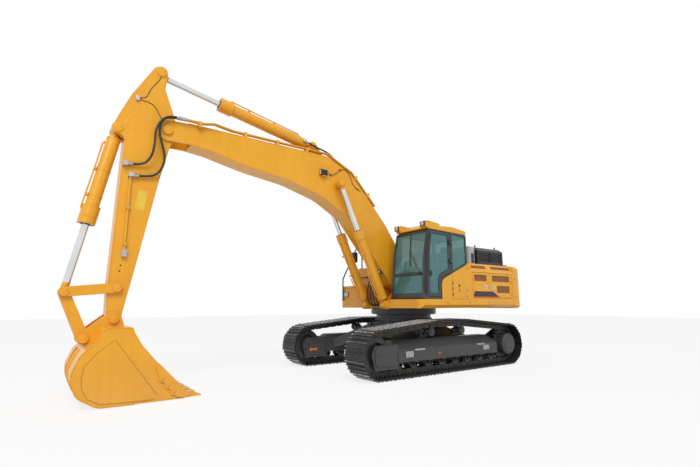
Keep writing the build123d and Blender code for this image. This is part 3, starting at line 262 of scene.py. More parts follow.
# paints and metals
yellowPaint = {
    "colour": (0.82, 0.385, 0.018, 1.0),
    "shade": (0.74, 0.33, 0.014, 1.0),
    "dust": (0.5, 0.37, 0.22, 1.0),
    "roughness": 0.34,
    "dustTop": 0.9,               # metres above the ground where the dust ends
}
paintRows = [
    # name, colour, dust, roughness
    ("dark", (0.018, 0.019, 0.021), (0.16, 0.14, 0.12), 0.42),
    ("frame", (0.046, 0.046, 0.047), (0.15, 0.135, 0.115), 0.5),
    ("cab", (0.045, 0.048, 0.052), (0.16, 0.15, 0.14), 0.3),
    ("airBox", (0.5, 0.51, 0.53), (0.35, 0.33, 0.3), 0.4),
    ("orange", (0.75, 0.2, 0.012), (0.3, 0.18, 0.08), 0.45),
    ("pale", (0.42, 0.42, 0.41), (0.25, 0.23, 0.2), 0.4),
    ("grille", (0.4, 0.17, 0.045), (0.3, 0.16, 0.07), 0.6),
    ("red", (0.55, 0.035, 0.012), (0.3, 0.1, 0.06), 0.35),
    ("bright", (0.88, 0.58, 0.06), (0.5, 0.4, 0.2), 0.35),
    ("gloss", (0.012, 0.013, 0.015), (0.1, 0.1, 0.1), 0.18),
]
paints = {name: {"colour": (*colour, 1.0), "dust": (*dust, 1.0), "roughness": roughness}
          for name, colour, dust, roughness in paintRows}
rodEyes = [(2.13, 4.08), (5.905, 5.545), (7.012, 1.622)]  # x and z of the rods' painted eyes
rodEyeRadius = 0.15
armPipePaint = (2.315, 3.505)           # z from and to
boomPipePaintEnd = 5.43                # x
brightMetal = (0.78, 0.79, 0.8, 1.0)
plainMetal = (0.52, 0.52, 0.52, 1.0)


def toned(colour, share):
    return tuple(c * share for c in colour[:3]) + (1.0,)


def paintShader(name, paint, peel=260.0, wear=0.0):
    tree = treeOf(bpy.data.materials.new(name))
    spot, (_, _, z) = tree.place()
    up = tree.facing()[2]
    broad = tree.noise(spot, 1.3, 4.0, 0.55)
    fine = tree.noise(spot, 34.0, 5.0, 0.6)
    streak = tree.noise(spot, 1.0, 4.0, 0.6, (16.0, 16.0, 1.1))
    tone = (broad - 0.5) * 0.9 + (streak - 0.5) * 0.5 + 0.5
    shade = paint.get("shade", toned(paint["colour"], 0.75))
    colour = tree.blend(tone.ramp(0.25, 0.8), shade, paint["colour"])
    low = 1.0 - z.ramp(0.0, paint.get("dustTop", 0.9))
    settled = up.ramp(0.55, 1.0) * 0.35
    dirt = ((low * 0.55).most(settled) * fine.ramp(0.35, 0.75)).least(1.0)
    colour = tree.blend(dirt * 0.55, colour, paint["dust"])
    roughness = paint["roughness"] + (fine - 0.5) * 0.1 + dirt * 0.25
    grain = tree.noise(spot, peel, 2.0, 0.5)
    bump = tree.bump(grain, 0.05, 0.002)
    if wear:
        scratch = tree.noise(spot, 9.0, 8.0, 0.75, (1.0, 1.0, 3.0))
        bare = scratch.ramp(0.66, 0.72) * wear
        colour = tree.blend(bare, colour, (0.3, 0.28, 0.25, 1.0))
        roughness = roughness + bare * 0.1
    return tree.surface({
        "Base Color": colour, "Roughness": roughness, "Normal": bump, "Coat Weight": 0.22,
        "Coat Roughness": 0.12, "Specular IOR Level": 0.35,
    })


def splitShader(name, paint, metal, maskOf, metalRough=0.34):
    # paint that gives way to bare metal where the mask is 1
    tree = treeOf(bpy.data.materials.new(name))
    spot, (x, y, z) = tree.place()
    broad = tree.noise(spot, 1.6, 4.0, 0.55)
    fine = tree.noise(spot, 34.0, 5.0, 0.6)
    edge = (tree.noise(spot, 22.0, 5.0, 0.65) - 0.5) * 0.03
    mask = maskOf(x + edge, y, z + edge).least(1.0)
    shade = toned(paint["colour"], 0.8)
    painted = tree.blend(broad.ramp(0.25, 0.8), shade, paint["colour"])
    painted = tree.blend(fine.ramp(0.5, 0.8) * 0.25, painted, paint["dust"])
    bare = tree.blend(broad.ramp(0.3, 0.75), toned(metal, 0.85), metal)
    return tree.surface({
        "Base Color": tree.blend(mask, painted, bare), "Metallic": mask * 0.95,
        "Roughness": paint["roughness"] + mask * (metalRough - paint["roughness"]) + (broad - 0.5) * 0.08,
        "Normal": tree.bump(fine * (1.0 - mask), 0.05, 0.001), "Coat Weight": 0.2,
    })


def awayFrom(x, z, places, radius):
    # 1 outside every disc round x, z
    mask = None
    for x0, z0 in places:
        out = ((x - x0) ** 2.0 + (z - z0) ** 2.0).root() > radius
        mask = out if mask is None else mask * out
    return mask


def metalShader(name, colour, roughness, scale=60.0, metallic=1.0, dirt=0.0):
    tree = treeOf(bpy.data.materials.new(name))
    spot = tree.place()[0]
    brushed = tree.noise(spot, scale, 4.0, 0.6)
    cloud = tree.noise(spot, 3.5, 4.0, 0.6)
    dark = toned(colour, 0.72)
    tone = tree.blend(cloud.ramp(0.3, 0.75), dark, colour)
    if dirt:
        tone = tree.blend(tree.noise(spot, 12.0, 6.0, 0.7).ramp(0.45, 0.7) * dirt, tone,
                          (0.09, 0.075, 0.06, 1.0))
    return tree.surface({
        "Base Color": tone, "Metallic": metallic, "Roughness": roughness + (brushed - 0.5) * 0.16,
        "Normal": tree.bump(brushed, 0.06, 0.001),
    })


def trackShader():
    # black belt with bright worn edges on the grousers
    belt = {"tumblerX": 2.02, "tumblerZ": 0.478, "tipRadius": 0.478, "topInner": 0.99, "carrierX": 0.49,
            "topOuter": 0.848, "grouserTop": 0.108, "worn": 0.01}
    tree = treeOf(bpy.data.materials.new("trackSteel"))
    spot, (x, _, z) = tree.place()
    side = abs(x)
    fromHub = ((side - belt["tumblerX"]).most(0.0) ** 2.0 + (z - belt["tumblerZ"]) ** 2.0).root()
    onRound = side > belt["tumblerX"]
    tipAtEnd = fromHub > belt["tipRadius"] - belt["worn"]
    fall = (belt["topInner"] - belt["topOuter"]) / (belt["tumblerX"] - belt["carrierX"])
    topLine = belt["topInner"] - (side - belt["carrierX"]).most(0.0) * fall
    tipAbove = z > topLine + belt["grouserTop"] - belt["worn"]
    tipBelow = z < belt["worn"]
    tip = (onRound * tipAtEnd).most(tipAbove).most(tipBelow * (1.0 - onRound)).least(1.0)
    rough = tree.noise(spot, 18.0, 6.0, 0.7)
    fine = tree.noise(spot, 90.0, 4.0, 0.6)
    bare = (tip * rough.ramp(0.3, 0.55)).least(1.0)
    base = tree.blend(rough.ramp(0.4, 0.75), (0.007, 0.007, 0.008, 1.0), (0.03, 0.027, 0.025, 1.0))
    colour = tree.blend(bare, base, (0.42, 0.41, 0.4, 1.0))
    return tree.surface({
        "Base Color": colour, "Metallic": bare * 0.85 + 0.1,
        "Roughness": 0.52 - bare * 0.16 + (fine - 0.5) * 0.2,
        "Normal": tree.bump(rough + fine * 0.4, 0.25, 0.002),
    })


def glassShader(name, colour, see):
    tree = treeOf(bpy.data.materials.new(name))
    spot = tree.place()[0]
    film = tree.noise(spot, 2.2, 4.0, 0.6)
    return tree.surface({
        "Base Color": colour, "Roughness": 0.03 + film * 0.03,
        "Alpha": film.ramp(0.2, 0.9, 1.0 - see, 1.08 - see), "Specular IOR Level": 0.8, "Coat Weight": 0.6,
    })


def rubberShader(name, colour=(0.016, 0.016, 0.017, 1.0)):
    tree = treeOf(bpy.data.materials.new(name))
    spot = tree.place()[0]
    fine = tree.noise(spot, 140.0, 4.0, 0.6)
    cloud = tree.noise(spot, 6.0, 4.0, 0.6)
    tone = tree.blend(cloud.ramp(0.35, 0.8), colour, tuple(c + 0.03 for c in colour[:3]) + (1.0,))
    return tree.surface({
        "Base Color": tone, "Roughness": 0.55 + (cloud - 0.5) * 0.2, "Normal": tree.bump(fine, 0.15, 0.001),
    })


def fabricShader(name, colour):
    tree = treeOf(bpy.data.materials.new(name))
    spot, (x, y, z) = tree.place()
    weave = ((x * 900.0).sine() * (z * 900.0 + y * 900.0).sine()) * 0.5 + 0.5
    cloud = tree.noise(spot, 8.0, 4.0, 0.6)
    tone = tree.blend(cloud.ramp(0.3, 0.8), colour, toned(colour, 1.8))
    return tree.surface({
        "Base Color": tone, "Roughness": 0.9 - weave * 0.1, "Normal": tree.bump(weave, 0.3, 0.001),
        "Sheen Weight": 0.3,
    })


finishes = {
    "yellow": paintShader("bodyYellow", yellowPaint),
    "black": paintShader("satinBlack", paints["dark"]),
    "frame": paintShader("frameGrey", paints["frame"]),
    "cab": paintShader("cabGrey", paints["cab"]),
    "airBox": paintShader("airBoxGrey", paints["airBox"]),
    "track": trackShader(),
    "chrome": metalShader("rodChrome", brightMetal, 0.12, 90.0),
    "rod": splitShader("rodWithEye", yellowPaint, brightMetal,
                       lambda x, y, z: awayFrom(x, z, rodEyes, rodEyeRadius), 0.12),
    "armPipe": splitShader("armPipe", yellowPaint, plainMetal,
                           lambda x, y, z: (z > armPipePaint[1]).most(z < armPipePaint[0])),
    "boomPipe": splitShader("boomPipe", yellowPaint, plainMetal, lambda x, y, z: x > boomPipePaintEnd),
    "bucketYellow": paintShader("bucketYellow", yellowPaint, 260.0, 0.25),
    "brightPlate": paintShader("brightPlate", paints["bright"]),
    "steel": metalShader("plainSteel", plainMetal, 0.34),
    "chain": metalShader("chainSteel", (0.055, 0.052, 0.05, 1.0), 0.5, 80.0, 0.7, 0.6),
    "darkSteel": metalShader("darkSteel", (0.13, 0.125, 0.12, 1.0), 0.42, 90.0, 0.8, 0.4),
    "orangeMark": paintShader("orangeMark", paints["orange"]),
    "blankPlate": paintShader("blankPlate", paints["pale"]),
    "grille": paintShader("grilleBrown", paints["grille"]),
    "stripe": paintShader("stripeBlack", paints["dark"]),
    "redMark": paintShader("redMark", paints["red"]),
    "gloss": paintShader("glossBlack", paints["gloss"]),
    "redLens": glassShader("redLens", (0.45, 0.02, 0.015, 1.0), 0.1),
    "castBlock": metalShader("castBlock", (0.22, 0.22, 0.22, 1.0), 0.6, 80.0, 0.4, 0.5),
    "glass": glassShader("cabGlass", (0.05, 0.235, 0.245, 1.0), 0.52),
    "lens": glassShader("lampLens", (0.72, 0.72, 0.68, 1.0), 0.25),
    "rubber": rubberShader("hoseRubber"),
    "fabric": fabricShader("seatFabric", (0.035, 0.04, 0.05, 1.0)),
}
nodeFinish = {
    "track": ["track_left", "track_right", "track_chain_left", "track_chain_right"],
    "frame": ["sprocket_left", "sprocket_right", "idler_left", "idler_right", "track_rollers_left",
              "track_rollers_right", "track_frame_left", "track_frame_right", "centre_frame", "swing_bearing",
              "slew_ring"],
    "yellow": ["revolving_frame", "counterweight", "engine_bay", "left_panel", "left_front_door",
               "left_rear_door", "right_pump_door", "tool_box", "fuel_tank", "cab_roof", "roof_lamps",
               "boom", "arm", "boom_cylinder_left", "boom_cylinder_right", "arm_cylinder",
               "bucket_cylinder", "guide_links", "bucket_link"],
    "bucketYellow": ["bucket", "bucket_teeth"],
    "boomPipe": ["boom_pipes"],
    "black": ["engine_hood", "handrails", "mirrors", "console"],
    "airBox": ["air_box"],
    "castBlock": ["engine_block"],
    "cab": ["cab_shell", "cab_door"],
    "glass": ["cab_glass", "door_glass"],
    "gloss": ["boom_lamp"],
    "fabric": ["seat"],
    "rod": ["boom_rod_left", "boom_rod_right", "arm_rod", "bucket_rod"],
    "armPipe": ["arm_pipe"],
    "rubber": ["hose_bucket", "hose_arm"],
}


def finishNodes():
    for finish, names in nodeFinish.items():
        for name in names:
            piece = nodes[name]
            piece.data.materials.clear()
            piece.data.materials.append(finishes[finish])


finishNodes()
print("nodes finished")


# shapes
def circle(count, start=0.0):
    # cosine and sine of each step round a whole turn
    angles = [start + 2 * pi * k / count for k in range(count)]
    return [(cos(angle), sin(angle)) for angle in angles]


class Shape:
    # faces of one piece, in metres in the row frame
    def __init__(self):
        self.mesh = bmesh.new()

    def box(self, low, high, turn=None):
        low, high = Vector(low), Vector(high)
        size = Matrix.Diagonal((*(high - low), 1.0))
        place = Matrix.Translation((low + high) / 2) @ (turn or Matrix.Identity(4)) @ size
        bmesh.ops.create_cube(self.mesh, size=1.0, matrix=place)
        return self

    def placedBox(self, turn, low, high):
        # box between two corners that are moved by turn
        spots = [turn @ Vector((x, y, z)) for x in (low[0], high[0]) for y in (low[1], high[1])
                 for z in (low[2], high[2])]
        return self.rings([[spots[k] for k in (0, 1, 3, 2)], [spots[k] for k in (4, 5, 7, 6)]])

    def rod(self, start, end, radius, sides=24):
        start, end = Vector(start), Vector(end)
        turn = (end - start).to_track_quat("Z", "Y").to_matrix().to_4x4()
        place = Matrix.Translation((start + end) / 2) @ turn
        bmesh.ops.create_cone(self.mesh, cap_ends=True, segments=sides, radius1=radius, radius2=radius,
                              depth=(end - start).length, matrix=place)
        return self

    def rings(self, rings, closed=False):
        # skin over rings of points that have the same count
        made = [[self.mesh.verts.new(point) for point in ring] for ring in rings]
        count = len(made[0])
        for first, second in zip(made, made[1:] + made[:1] if closed else made[1:]):
            for k in range(count):
                self.mesh.faces.new([first[k], first[(k + 1) % count], second[(k + 1) % count], second[k]])
        if not closed:
            self.mesh.faces.new(made[0][::-1])
            self.mesh.faces.new(made[-1])
        return self

    def turned(self, rows, place, axis=(0.0, 1.0, 0.0), sides=48):
        # rows of distance along the axis, radius
        turn = Vector(axis).to_track_quat("Z", "Y").to_matrix()
        return self.rings([[Vector(place) + turn @ Vector((radius * c, radius * s, along))
                            for c, s in circle(sides)]
                           for along, radius in rows])

    def plate(self, outline, low, high):
        # outline of x, z between two values of y
        return self.rings([[(x, y, z) for x, z in outline] for y in (low, high)])

    def tube(self, points, radius, sides=12):
        # round section carried along the points without twist
        points = [Vector(p) for p in points]
        side = None
        rings = []
        for k, point in enumerate(points):
            ahead = (points[min(k + 1, len(points) - 1)] - points[max(k - 1, 0)]).normalized()
            if side is None:
                side = ahead.orthogonal().normalized()
            side = (side - ahead * side.dot(ahead)).normalized()
            across = ahead.cross(side)
            rings.append([point + radius * (c * side + s * across) for c, s in circle(sides)])
        return self.rings(rings)

    def data(self, name, finish, sharp=35.0):
        bmesh.ops.remove_doubles(self.mesh, verts=self.mesh.verts, dist=1e-6)
        bmesh.ops.recalc_face_normals(self.mesh, faces=self.mesh.faces)
        mesh = bpy.data.meshes.new(name)
        self.mesh.to_mesh(mesh)
        self.mesh.free()
        mesh.materials.append(finishes[finish])
        mesh.shade_smooth()
        mesh.set_sharp_from_angle(angle=radians(sharp))
        return mesh

    def piece(self, name, finish, body, slot, bevel=0.0):
        made = addObject(name, self.data(name, finish))
        if bevel:
            soft = made.modifiers.new("soften", "BEVEL")
            soft.width = bevel
            soft.segments = 2
            soft.limit_method = "ANGLE"
        if body:
            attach(made, body)
        return made


def routeCurve(name, points):
    # spline with the points as its control points
    curve = bpy.data.curves.new(name, "CURVE")
    curve.dimensions = "3D"
    curve.resolution_u = 12
    spline = curve.splines.new("NURBS")
    spline.points.add(len(points) - 1)
    for spot, point in zip(spline.points, points):
        spot.co = (*point, 1.0)
    spline.order_u = 3
    spline.use_endpoint_u = True
    return addObject(name, curve)


def routePoints(points):
    # points on the spline of that route
    holder = routeCurve("routeHolder", points)
    line = bpy.data.meshes.new_from_object(holder)
    found = [vertex.co.copy() for vertex in line.vertices]
    bpy.data.objects.remove(holder)
    bpy.data.meshes.remove(line)
    return found


def runLength(points):
    return sum((b - a).length for a, b in zip(points, points[1:]))


def outlineOf(rows, steps=6):
    # rows of x, z, corner radius as points
    points = []
    for k, (x, z, radius) in enumerate(rows):
        corner = Vector((x, z))
        if not radius:
            points.append(corner)
            continue
        before = (Vector(rows[k - 1][:2]) - corner).normalized()
        after = (Vector(rows[(k + 1) % len(rows)][:2]) - corner).normalized()
        half = before.angle(after) / 2
        middle = corner + (before + after).normalized() * radius / sin(half)
        start = corner + before * radius / math.tan(half)
        end = corner + after * radius / math.tan(half)
        for j in range(steps + 1):
            spoke = (start - middle).lerp(end - middle, j / steps).normalized() * radius
            points.append(middle + spoke)
    return [tuple(p) for p in points]


def rounded(low, high, radius, steps=4):
    # outline of a rectangle with round corners
    (x0, z0), (x1, z1) = low, high
    return outlineOf([(x0, z0, radius), (x1, z0, radius), (x1, z1, radius), (x0, z1, radius)], steps)


def span(side, first, second, face=0.0):
    # two distances out from a face on that side, in rising order
    return sorted((face + side * first, face + side * second))


def hullOf(discs, steps=20):
    # convex outline round discs of x, z, radius
    spots = []
    for x, z, radius in discs:
        spots += [(x + radius * c, z + radius * s) for c, s in circle(steps)]
    spots = sorted(set((round(x, 6), round(z, 6)) for x, z in spots))
    chains = []
    for run in (spots, spots[::-1]):
        chain = []
        for p in run:
            while len(chain) > 1 and ((chain[-1][0] - chain[-2][0]) * (p[1] - chain[-2][1])
                                      - (chain[-1][1] - chain[-2][1]) * (p[0] - chain[-2][0])) <= 0:
                chain.pop()
            chain.append(p)
        chains += chain[:-1]
    return chains


# what repeats
scatterSockets = [("Places", "Geometry"), ("Item", "Object"), ("Finish", "Material"), ("Spin", "Float"),
                  ("Seed", "Int")]


def makeScatterTree():
    group = bpy.data.node_groups.new("scatterItems", "GeometryNodeTree")
    for name, kind in scatterSockets:
        group.interface.new_socket(name, in_out="INPUT", socket_type="NodeSocket" + kind)
    group.interface.new_socket("Pieces", in_out="OUTPUT", socket_type="NodeSocketGeometry")
    tree = NodeTree(group)
    source, result = group.nodes.new("NodeGroupInput"), group.nodes.new("NodeGroupOutput")
    places, item, finish, spin, seed = (Wire(tree, source.outputs[name]) for name, kind in scatterSockets)
    shape = tree.add("GeometryNodeObjectInfo", {"transform_space": "ORIGINAL"}, {"Object": item}, "Geometry")
    turn, size = (tree.add("GeometryNodeInputNamedAttribute", {"data_type": "FLOAT_VECTOR"}, {"Name": name},
                           "Attribute")
                  for name in ("turn", "grow"))
    turned = tree.add("FunctionNodeEulerToRotation", None, {0: turn})
    chance = tree.add("FunctionNodeRandomValue", {"data_type": "FLOAT"}, {2: 0.0, 3: spin, "Seed": seed}, 1)
    angles = tree.add("ShaderNodeCombineXYZ", None, {"Z": chance})
    spun = tree.add("FunctionNodeEulerToRotation", None, {0: angles})
    both = tree.add("FunctionNodeRotateRotation", {"rotation_space": "LOCAL"}, {0: turned, 1: spun})
    copies = tree.add("GeometryNodeInstanceOnPoints", None,
                      {"Points": places, "Instance": shape, "Rotation": both, "Scale": size})
    real = tree.add("GeometryNodeRealizeInstances", None, {0: copies})
    painted = tree.add("GeometryNodeSetMaterial", None, {0: real, "Material": finish})
    group.links.new(painted.socket, result.inputs[0])
    return group


scatterTree = makeScatterTree()


def scatter(name, item, places, finish, body, spin=0.0, seed=3):
    # copies of the item mesh at places of position, direction of its Z axis or whole turn, size
    mesh = bpy.data.meshes.new(name + "Places")
    mesh.from_pydata([place for place, aim, size in places], [], [])
    turns = mesh.attributes.new("turn", "FLOAT_VECTOR", "POINT")
    grows = mesh.attributes.new("grow", "FLOAT_VECTOR", "POINT")
    for k, (place, aim, size) in enumerate(places):
        turn = aim if isinstance(aim, Matrix) else Vector(aim).to_track_quat("Z", "Y").to_matrix()
        turns.data[k].vector = turn.to_euler()
        grows.data[k].vector = size if isinstance(size, tuple) else (size, size, size)
    holder, sample = addObject(name + "Holder", mesh), addObject(name + "Item", item)
    modifier = holder.modifiers.new("scatter", "NODES")
    modifier.node_group = scatterTree
    values = {"Item": sample, "Finish": finishes[finish], "Spin": spin, "Seed": seed}
    for entry in scatterTree.interface.items_tree:
        if entry.in_out == "INPUT" and entry.name in values:
            modifier[entry.identifier] = values[entry.name]
    bpy.context.view_layer.update()
    made = bpy.data.meshes.new_from_object(holder.evaluated_get(bpy.context.evaluated_depsgraph_get()))
    for spent in (holder, sample):
        bpy.data.objects.remove(spent)
    made.name = name
    result = addObject(name, made)
    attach(result, body)
    return result


bolt = {"washer": 1.3, "head": 1.0, "washerHeight": 0.22, "height": 0.95, "chamfer": 0.16}


def boltMesh():
    # hex head on a washer, of radius 1
    shape = Shape()
    shape.turned([(0.0, bolt["washer"]), (bolt["washerHeight"], bolt["washer"])], (0, 0, 0), (0, 0, 1), 14)
    top = bolt["height"]
    shape.turned([(0.0, bolt["head"]), (top - bolt["chamfer"], bolt["head"]),
                  (top, bolt["head"] - bolt["chamfer"])],
                 (0, 0, 0), (0, 0, 1), 6)
    return shape.data("bolt", "steel", 25.0)


def scatterBolts(name, bolts, finish, body):
    return scatter(name, boltMesh(), bolts, finish, body, 1.0)


def ringOf(place, axis, radius, count, start=0.0):
    # places round an axis
    turn = Vector(axis).to_track_quat("Z", "Y").to_matrix()
    return [tuple(Vector(place) + turn @ Vector((radius * c, radius * s, 0.0)))
            for c, s in circle(count, start)]


def boltRing(place, axis, radius, count, size, start=0.0):
    return [(spot, axis, size) for spot in ringOf(place, axis, radius, count, start)]


print("tools ready")


# working equipment: shared places, x and z of each pin
pins = {
    "boomFoot": (0.2, 1.96), "liftBase": (0.88, 1.405), "liftRod": (2.13, 4.08), "armPivot": (5.75, 4.47),
    "crowdBase": (2.7, 4.9), "crowdRod": (5.905, 5.545), "bucketBase": (6.505, 4.35), "guide": (6.315, 1.695),
    "linkJoint": (7.012, 1.622), "bucketPivot": (6.332, 1.215), "bucketLink": (6.71, 0.93),
}


def onAxis(base, tip, along, out=0.0, y=0.0):
    # point at a distance from base towards tip, moved out across that line
    (x0, z0), (x1, z1) = base, tip
    run = math.hypot(x1 - x0, z1 - z0)
    ux, uz = (x1 - x0) / run, (z1 - z0) / run
    return (x0 + ux * along - uz * out, y, z0 + uz * along + ux * out)


def insetOutline(points, amount):
    # closed x, z outline moved inwards by amount
    area = sum(a[0] * b[1] - b[0] * a[1] for a, b in zip(points, points[1:] + points[:1]))
    sign = 1.0 if area > 0 else -1.0
    moved = []
    for k, spot in enumerate(points):
        before, after = Vector(points[k - 1]), Vector(points[(k + 1) % len(points)])
        ahead = (after - before).normalized()
        moved.append((spot[0] - sign * ahead.y * amount, spot[1] + sign * ahead.x * amount))
    return moved


# hoses that bend over a joint
tipHoses = {
    "hose_bucket": {
        "route": [(5.54, 0.285, 4.72), (5.72, 0.285, 4.72), (5.88, 0.325, 4.6), (5.965, 0.335, 4.38),
                  (5.955, 0.33, 4.14), (5.98, 0.3, 3.91), (6.1, 0.212, 3.745), (6.33, 0.212, 3.745)],
        "length": 1.5,
    },
    "hose_arm": {
        "route": [(5.54, 0.24, 4.72), (5.72, 0.24, 4.72), (5.86, 0.262, 4.62), (5.9, 0.27, 4.4),
                  (5.83, 0.268, 4.17), (5.76, 0.262, 3.94), (5.8, 0.24, 3.72), (5.95, 0.212, 3.56),
                  (6.225, 0.212, 3.56)],
        "length": 1.72,
    },
}
footHoses = {
    "places": [-0.15, -0.05, 0.05, 0.15],
    "route": [(0.72, 1.405), (0.8, 1.395), (0.9, 1.41), (0.985, 1.5), (1.0, 1.72), (0.95, 2.0),
              (0.868, 2.203)],
    "elbow": [(0.58, 1.35), (0.582, 1.395), (0.62, 1.41), (0.665, 1.405), (0.722, 1.405)],
    "length": 0.98,
    "diameter": 0.034,
}


def makeTipHoses():
    fittings = Shape()
    for name, facts in tipHoses.items():
        points = routePoints(facts["route"])
        shape = Shape().tube(points, 0.02, 16)
        hose = shape.piece(name.replace("hose_", "tipHose_"), "rubber", None, "hose_rubber")
        print("tip hose", round(runLength(points), 3), "m")
        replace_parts(hose, name)
        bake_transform(hose)
        x, y, z = facts["route"][0]
        fittings.turned([(0.0, 0.024), (0.006, 0.028), (0.06, 0.028), (0.066, 0.0235), (0.086, 0.0235),
                         (0.09, 0.021)], (x - 0.005, y, z), (1, 0, 0), 24)
    fittings.piece("tipFittings", "steel", "boom", "pipe_steel")
    ends = Shape()
    for facts in tipHoses.values():
        x, y, z = facts["route"][-1]
        ends.turned([(0.0, 0.021), (0.006, 0.026), (0.05, 0.026), (0.056, 0.03), (0.085, 0.03)],
                    (x - 0.085, y, z), (1, 0, 0), 24)
    ends.piece("armFittings", "steel", "arm", "pipe_steel")


def makeFootHoses():
    ends, low = Shape(), Shape()
    for k, y in enumerate(footHoses["places"]):
        route = [(x, y * (1.0 + 0.15 * sin(2.2 * j + k)), z) for j, (x, z) in enumerate(footHoses["route"])]
        points = routePoints(route)
        hose = Shape().tube(points, footHoses["diameter"] / 2, 14).piece(f"footHose_{k}", "rubber", None,
                                                                         "hose_rubber")
        if k == 0:
            print("foot hose", round(runLength(points), 3), "m")
        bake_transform(hose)
        last, before = points[-1], points[-3]
        ends.turned([(0.0, 0.0185), (0.004, 0.023), (0.05, 0.023), (0.055, 0.027), (0.085, 0.027)],
                    last + (before - last).normalized() * 0.055, last - before, 20)
        low.turned([(0.0, 0.027), (0.03, 0.027), (0.035, 0.023), (0.085, 0.023), (0.089, 0.0185)],
                   points[0], points[2] - points[0], 20)
        low.tube(routePoints([(x, route[0][1], z) for x, z in footHoses["elbow"]]), 0.016, 12)
    ends.box((0.8, -0.185, 2.165), (0.9, 0.185, 2.225), Matrix.Rotation(radians(-49.2), 4, "Y"))
    ends.piece("footFittingsBoom", "steel", "boom", "pipe_steel")
    low.piece("footFittingsHouse", "steel", "house", "pipe_steel")


makeTipHoses()
makeFootHoses()
print("hoses ready")


# pins and their caps
pinCaps = [
    # body, pin, y of the cap's inner face, radius, on both sides
    ("boom", "armPivot", 0.2365, 0.082), ("boom", "crowdBase", 0.1155, 0.066),
    ("boom", "liftRod", 0.2188, 0.105),
    ("arm", "guide", 0.2365, 0.066), ("arm", "crowdRod", 0.1795, 0.078), ("arm", "bucketBase", 0.1735, 0.074),
    ("bucket", "bucketPivot", 0.2645, 0.07), ("bucket", "bucketLink", 0.2645, 0.066),
    ("house", "boomFoot", 0.2795, 0.09),
    ("guide_links", "linkJoint", 0.2248, 0.064), ("boom_rods", "liftRod", 0.4115, 0.07),
    ("house", "liftBase", 0.4395, 0.066),
]
capShape = {"thick": 0.014, "bolts": 1, "boltSize": 0.009}


def makePinCaps():
    bolts = {}
    caps = {}
    for body, pin, y, radius in pinCaps:
        x, z = pins[pin]
        shape = caps.setdefault(body, Shape())
        for side in (-1, 1):
            axis = (0, side, 0)
            thick = capShape["thick"]
            shape.turned([(0.0, radius), (thick - 0.003, radius), (thick, radius - 0.003),
                          (thick, radius * 0.42), (thick + 0.004, radius * 0.38), (thick + 0.004, 0.006)],
                          (x, side * y, z), axis, 40)
            bolts.setdefault(body, []).extend(boltRing((x, side * (y + thick), z), axis, radius * 0.68,
                                                       capShape["bolts"], capShape["boltSize"], 0.5))
    for body, shape in caps.items():
        shape.piece("pinCaps_" + body, "yellow", body, "yellow_paint", 0.0015)
        scatterBolts("pinCapBolts_" + body, bolts[body], "yellow", body)


makePinCaps()
print("pin caps ready")


# hydraulic cylinders
cylinders = {
    # length is from the base pin to the gland's end
    "arm": {"body": "arm_barrel", "rodBody": "arm_rod", "base": "crowdBase", "tip": "crowdRod", "y": [0.0],
            "radius": 0.114, "gland": 0.138, "glandLong": 0.26, "length": 2.136, "rod": 0.057,
            "pipeSide": 1.0, "start": 0.17},
    "bucket": {"body": "bucket_barrel", "rodBody": "bucket_rod", "base": "bucketBase", "tip": "linkJoint",
               "y": [0.0], "radius": 0.103, "gland": 0.13, "glandLong": 0.3, "length": 1.68, "rod": 0.056,
               "pipeSide": 1.0, "start": 0.162},
    "lift": {"body": "boom_barrels", "rodBody": "boom_rods", "base": "liftBase", "tip": "liftRod",
             "y": [-0.345, 0.345], "radius": 0.104, "gland": 0.118, "glandLong": 0.2, "length": 1.822,
             "rod": 0.054, "pipeSide": -1.0, "start": 0.165},
}
cylinderFit = {"bolts": 8, "boltSize": 0.012, "pipe": 0.013, "wiper": 0.016, "stand": 0.03}


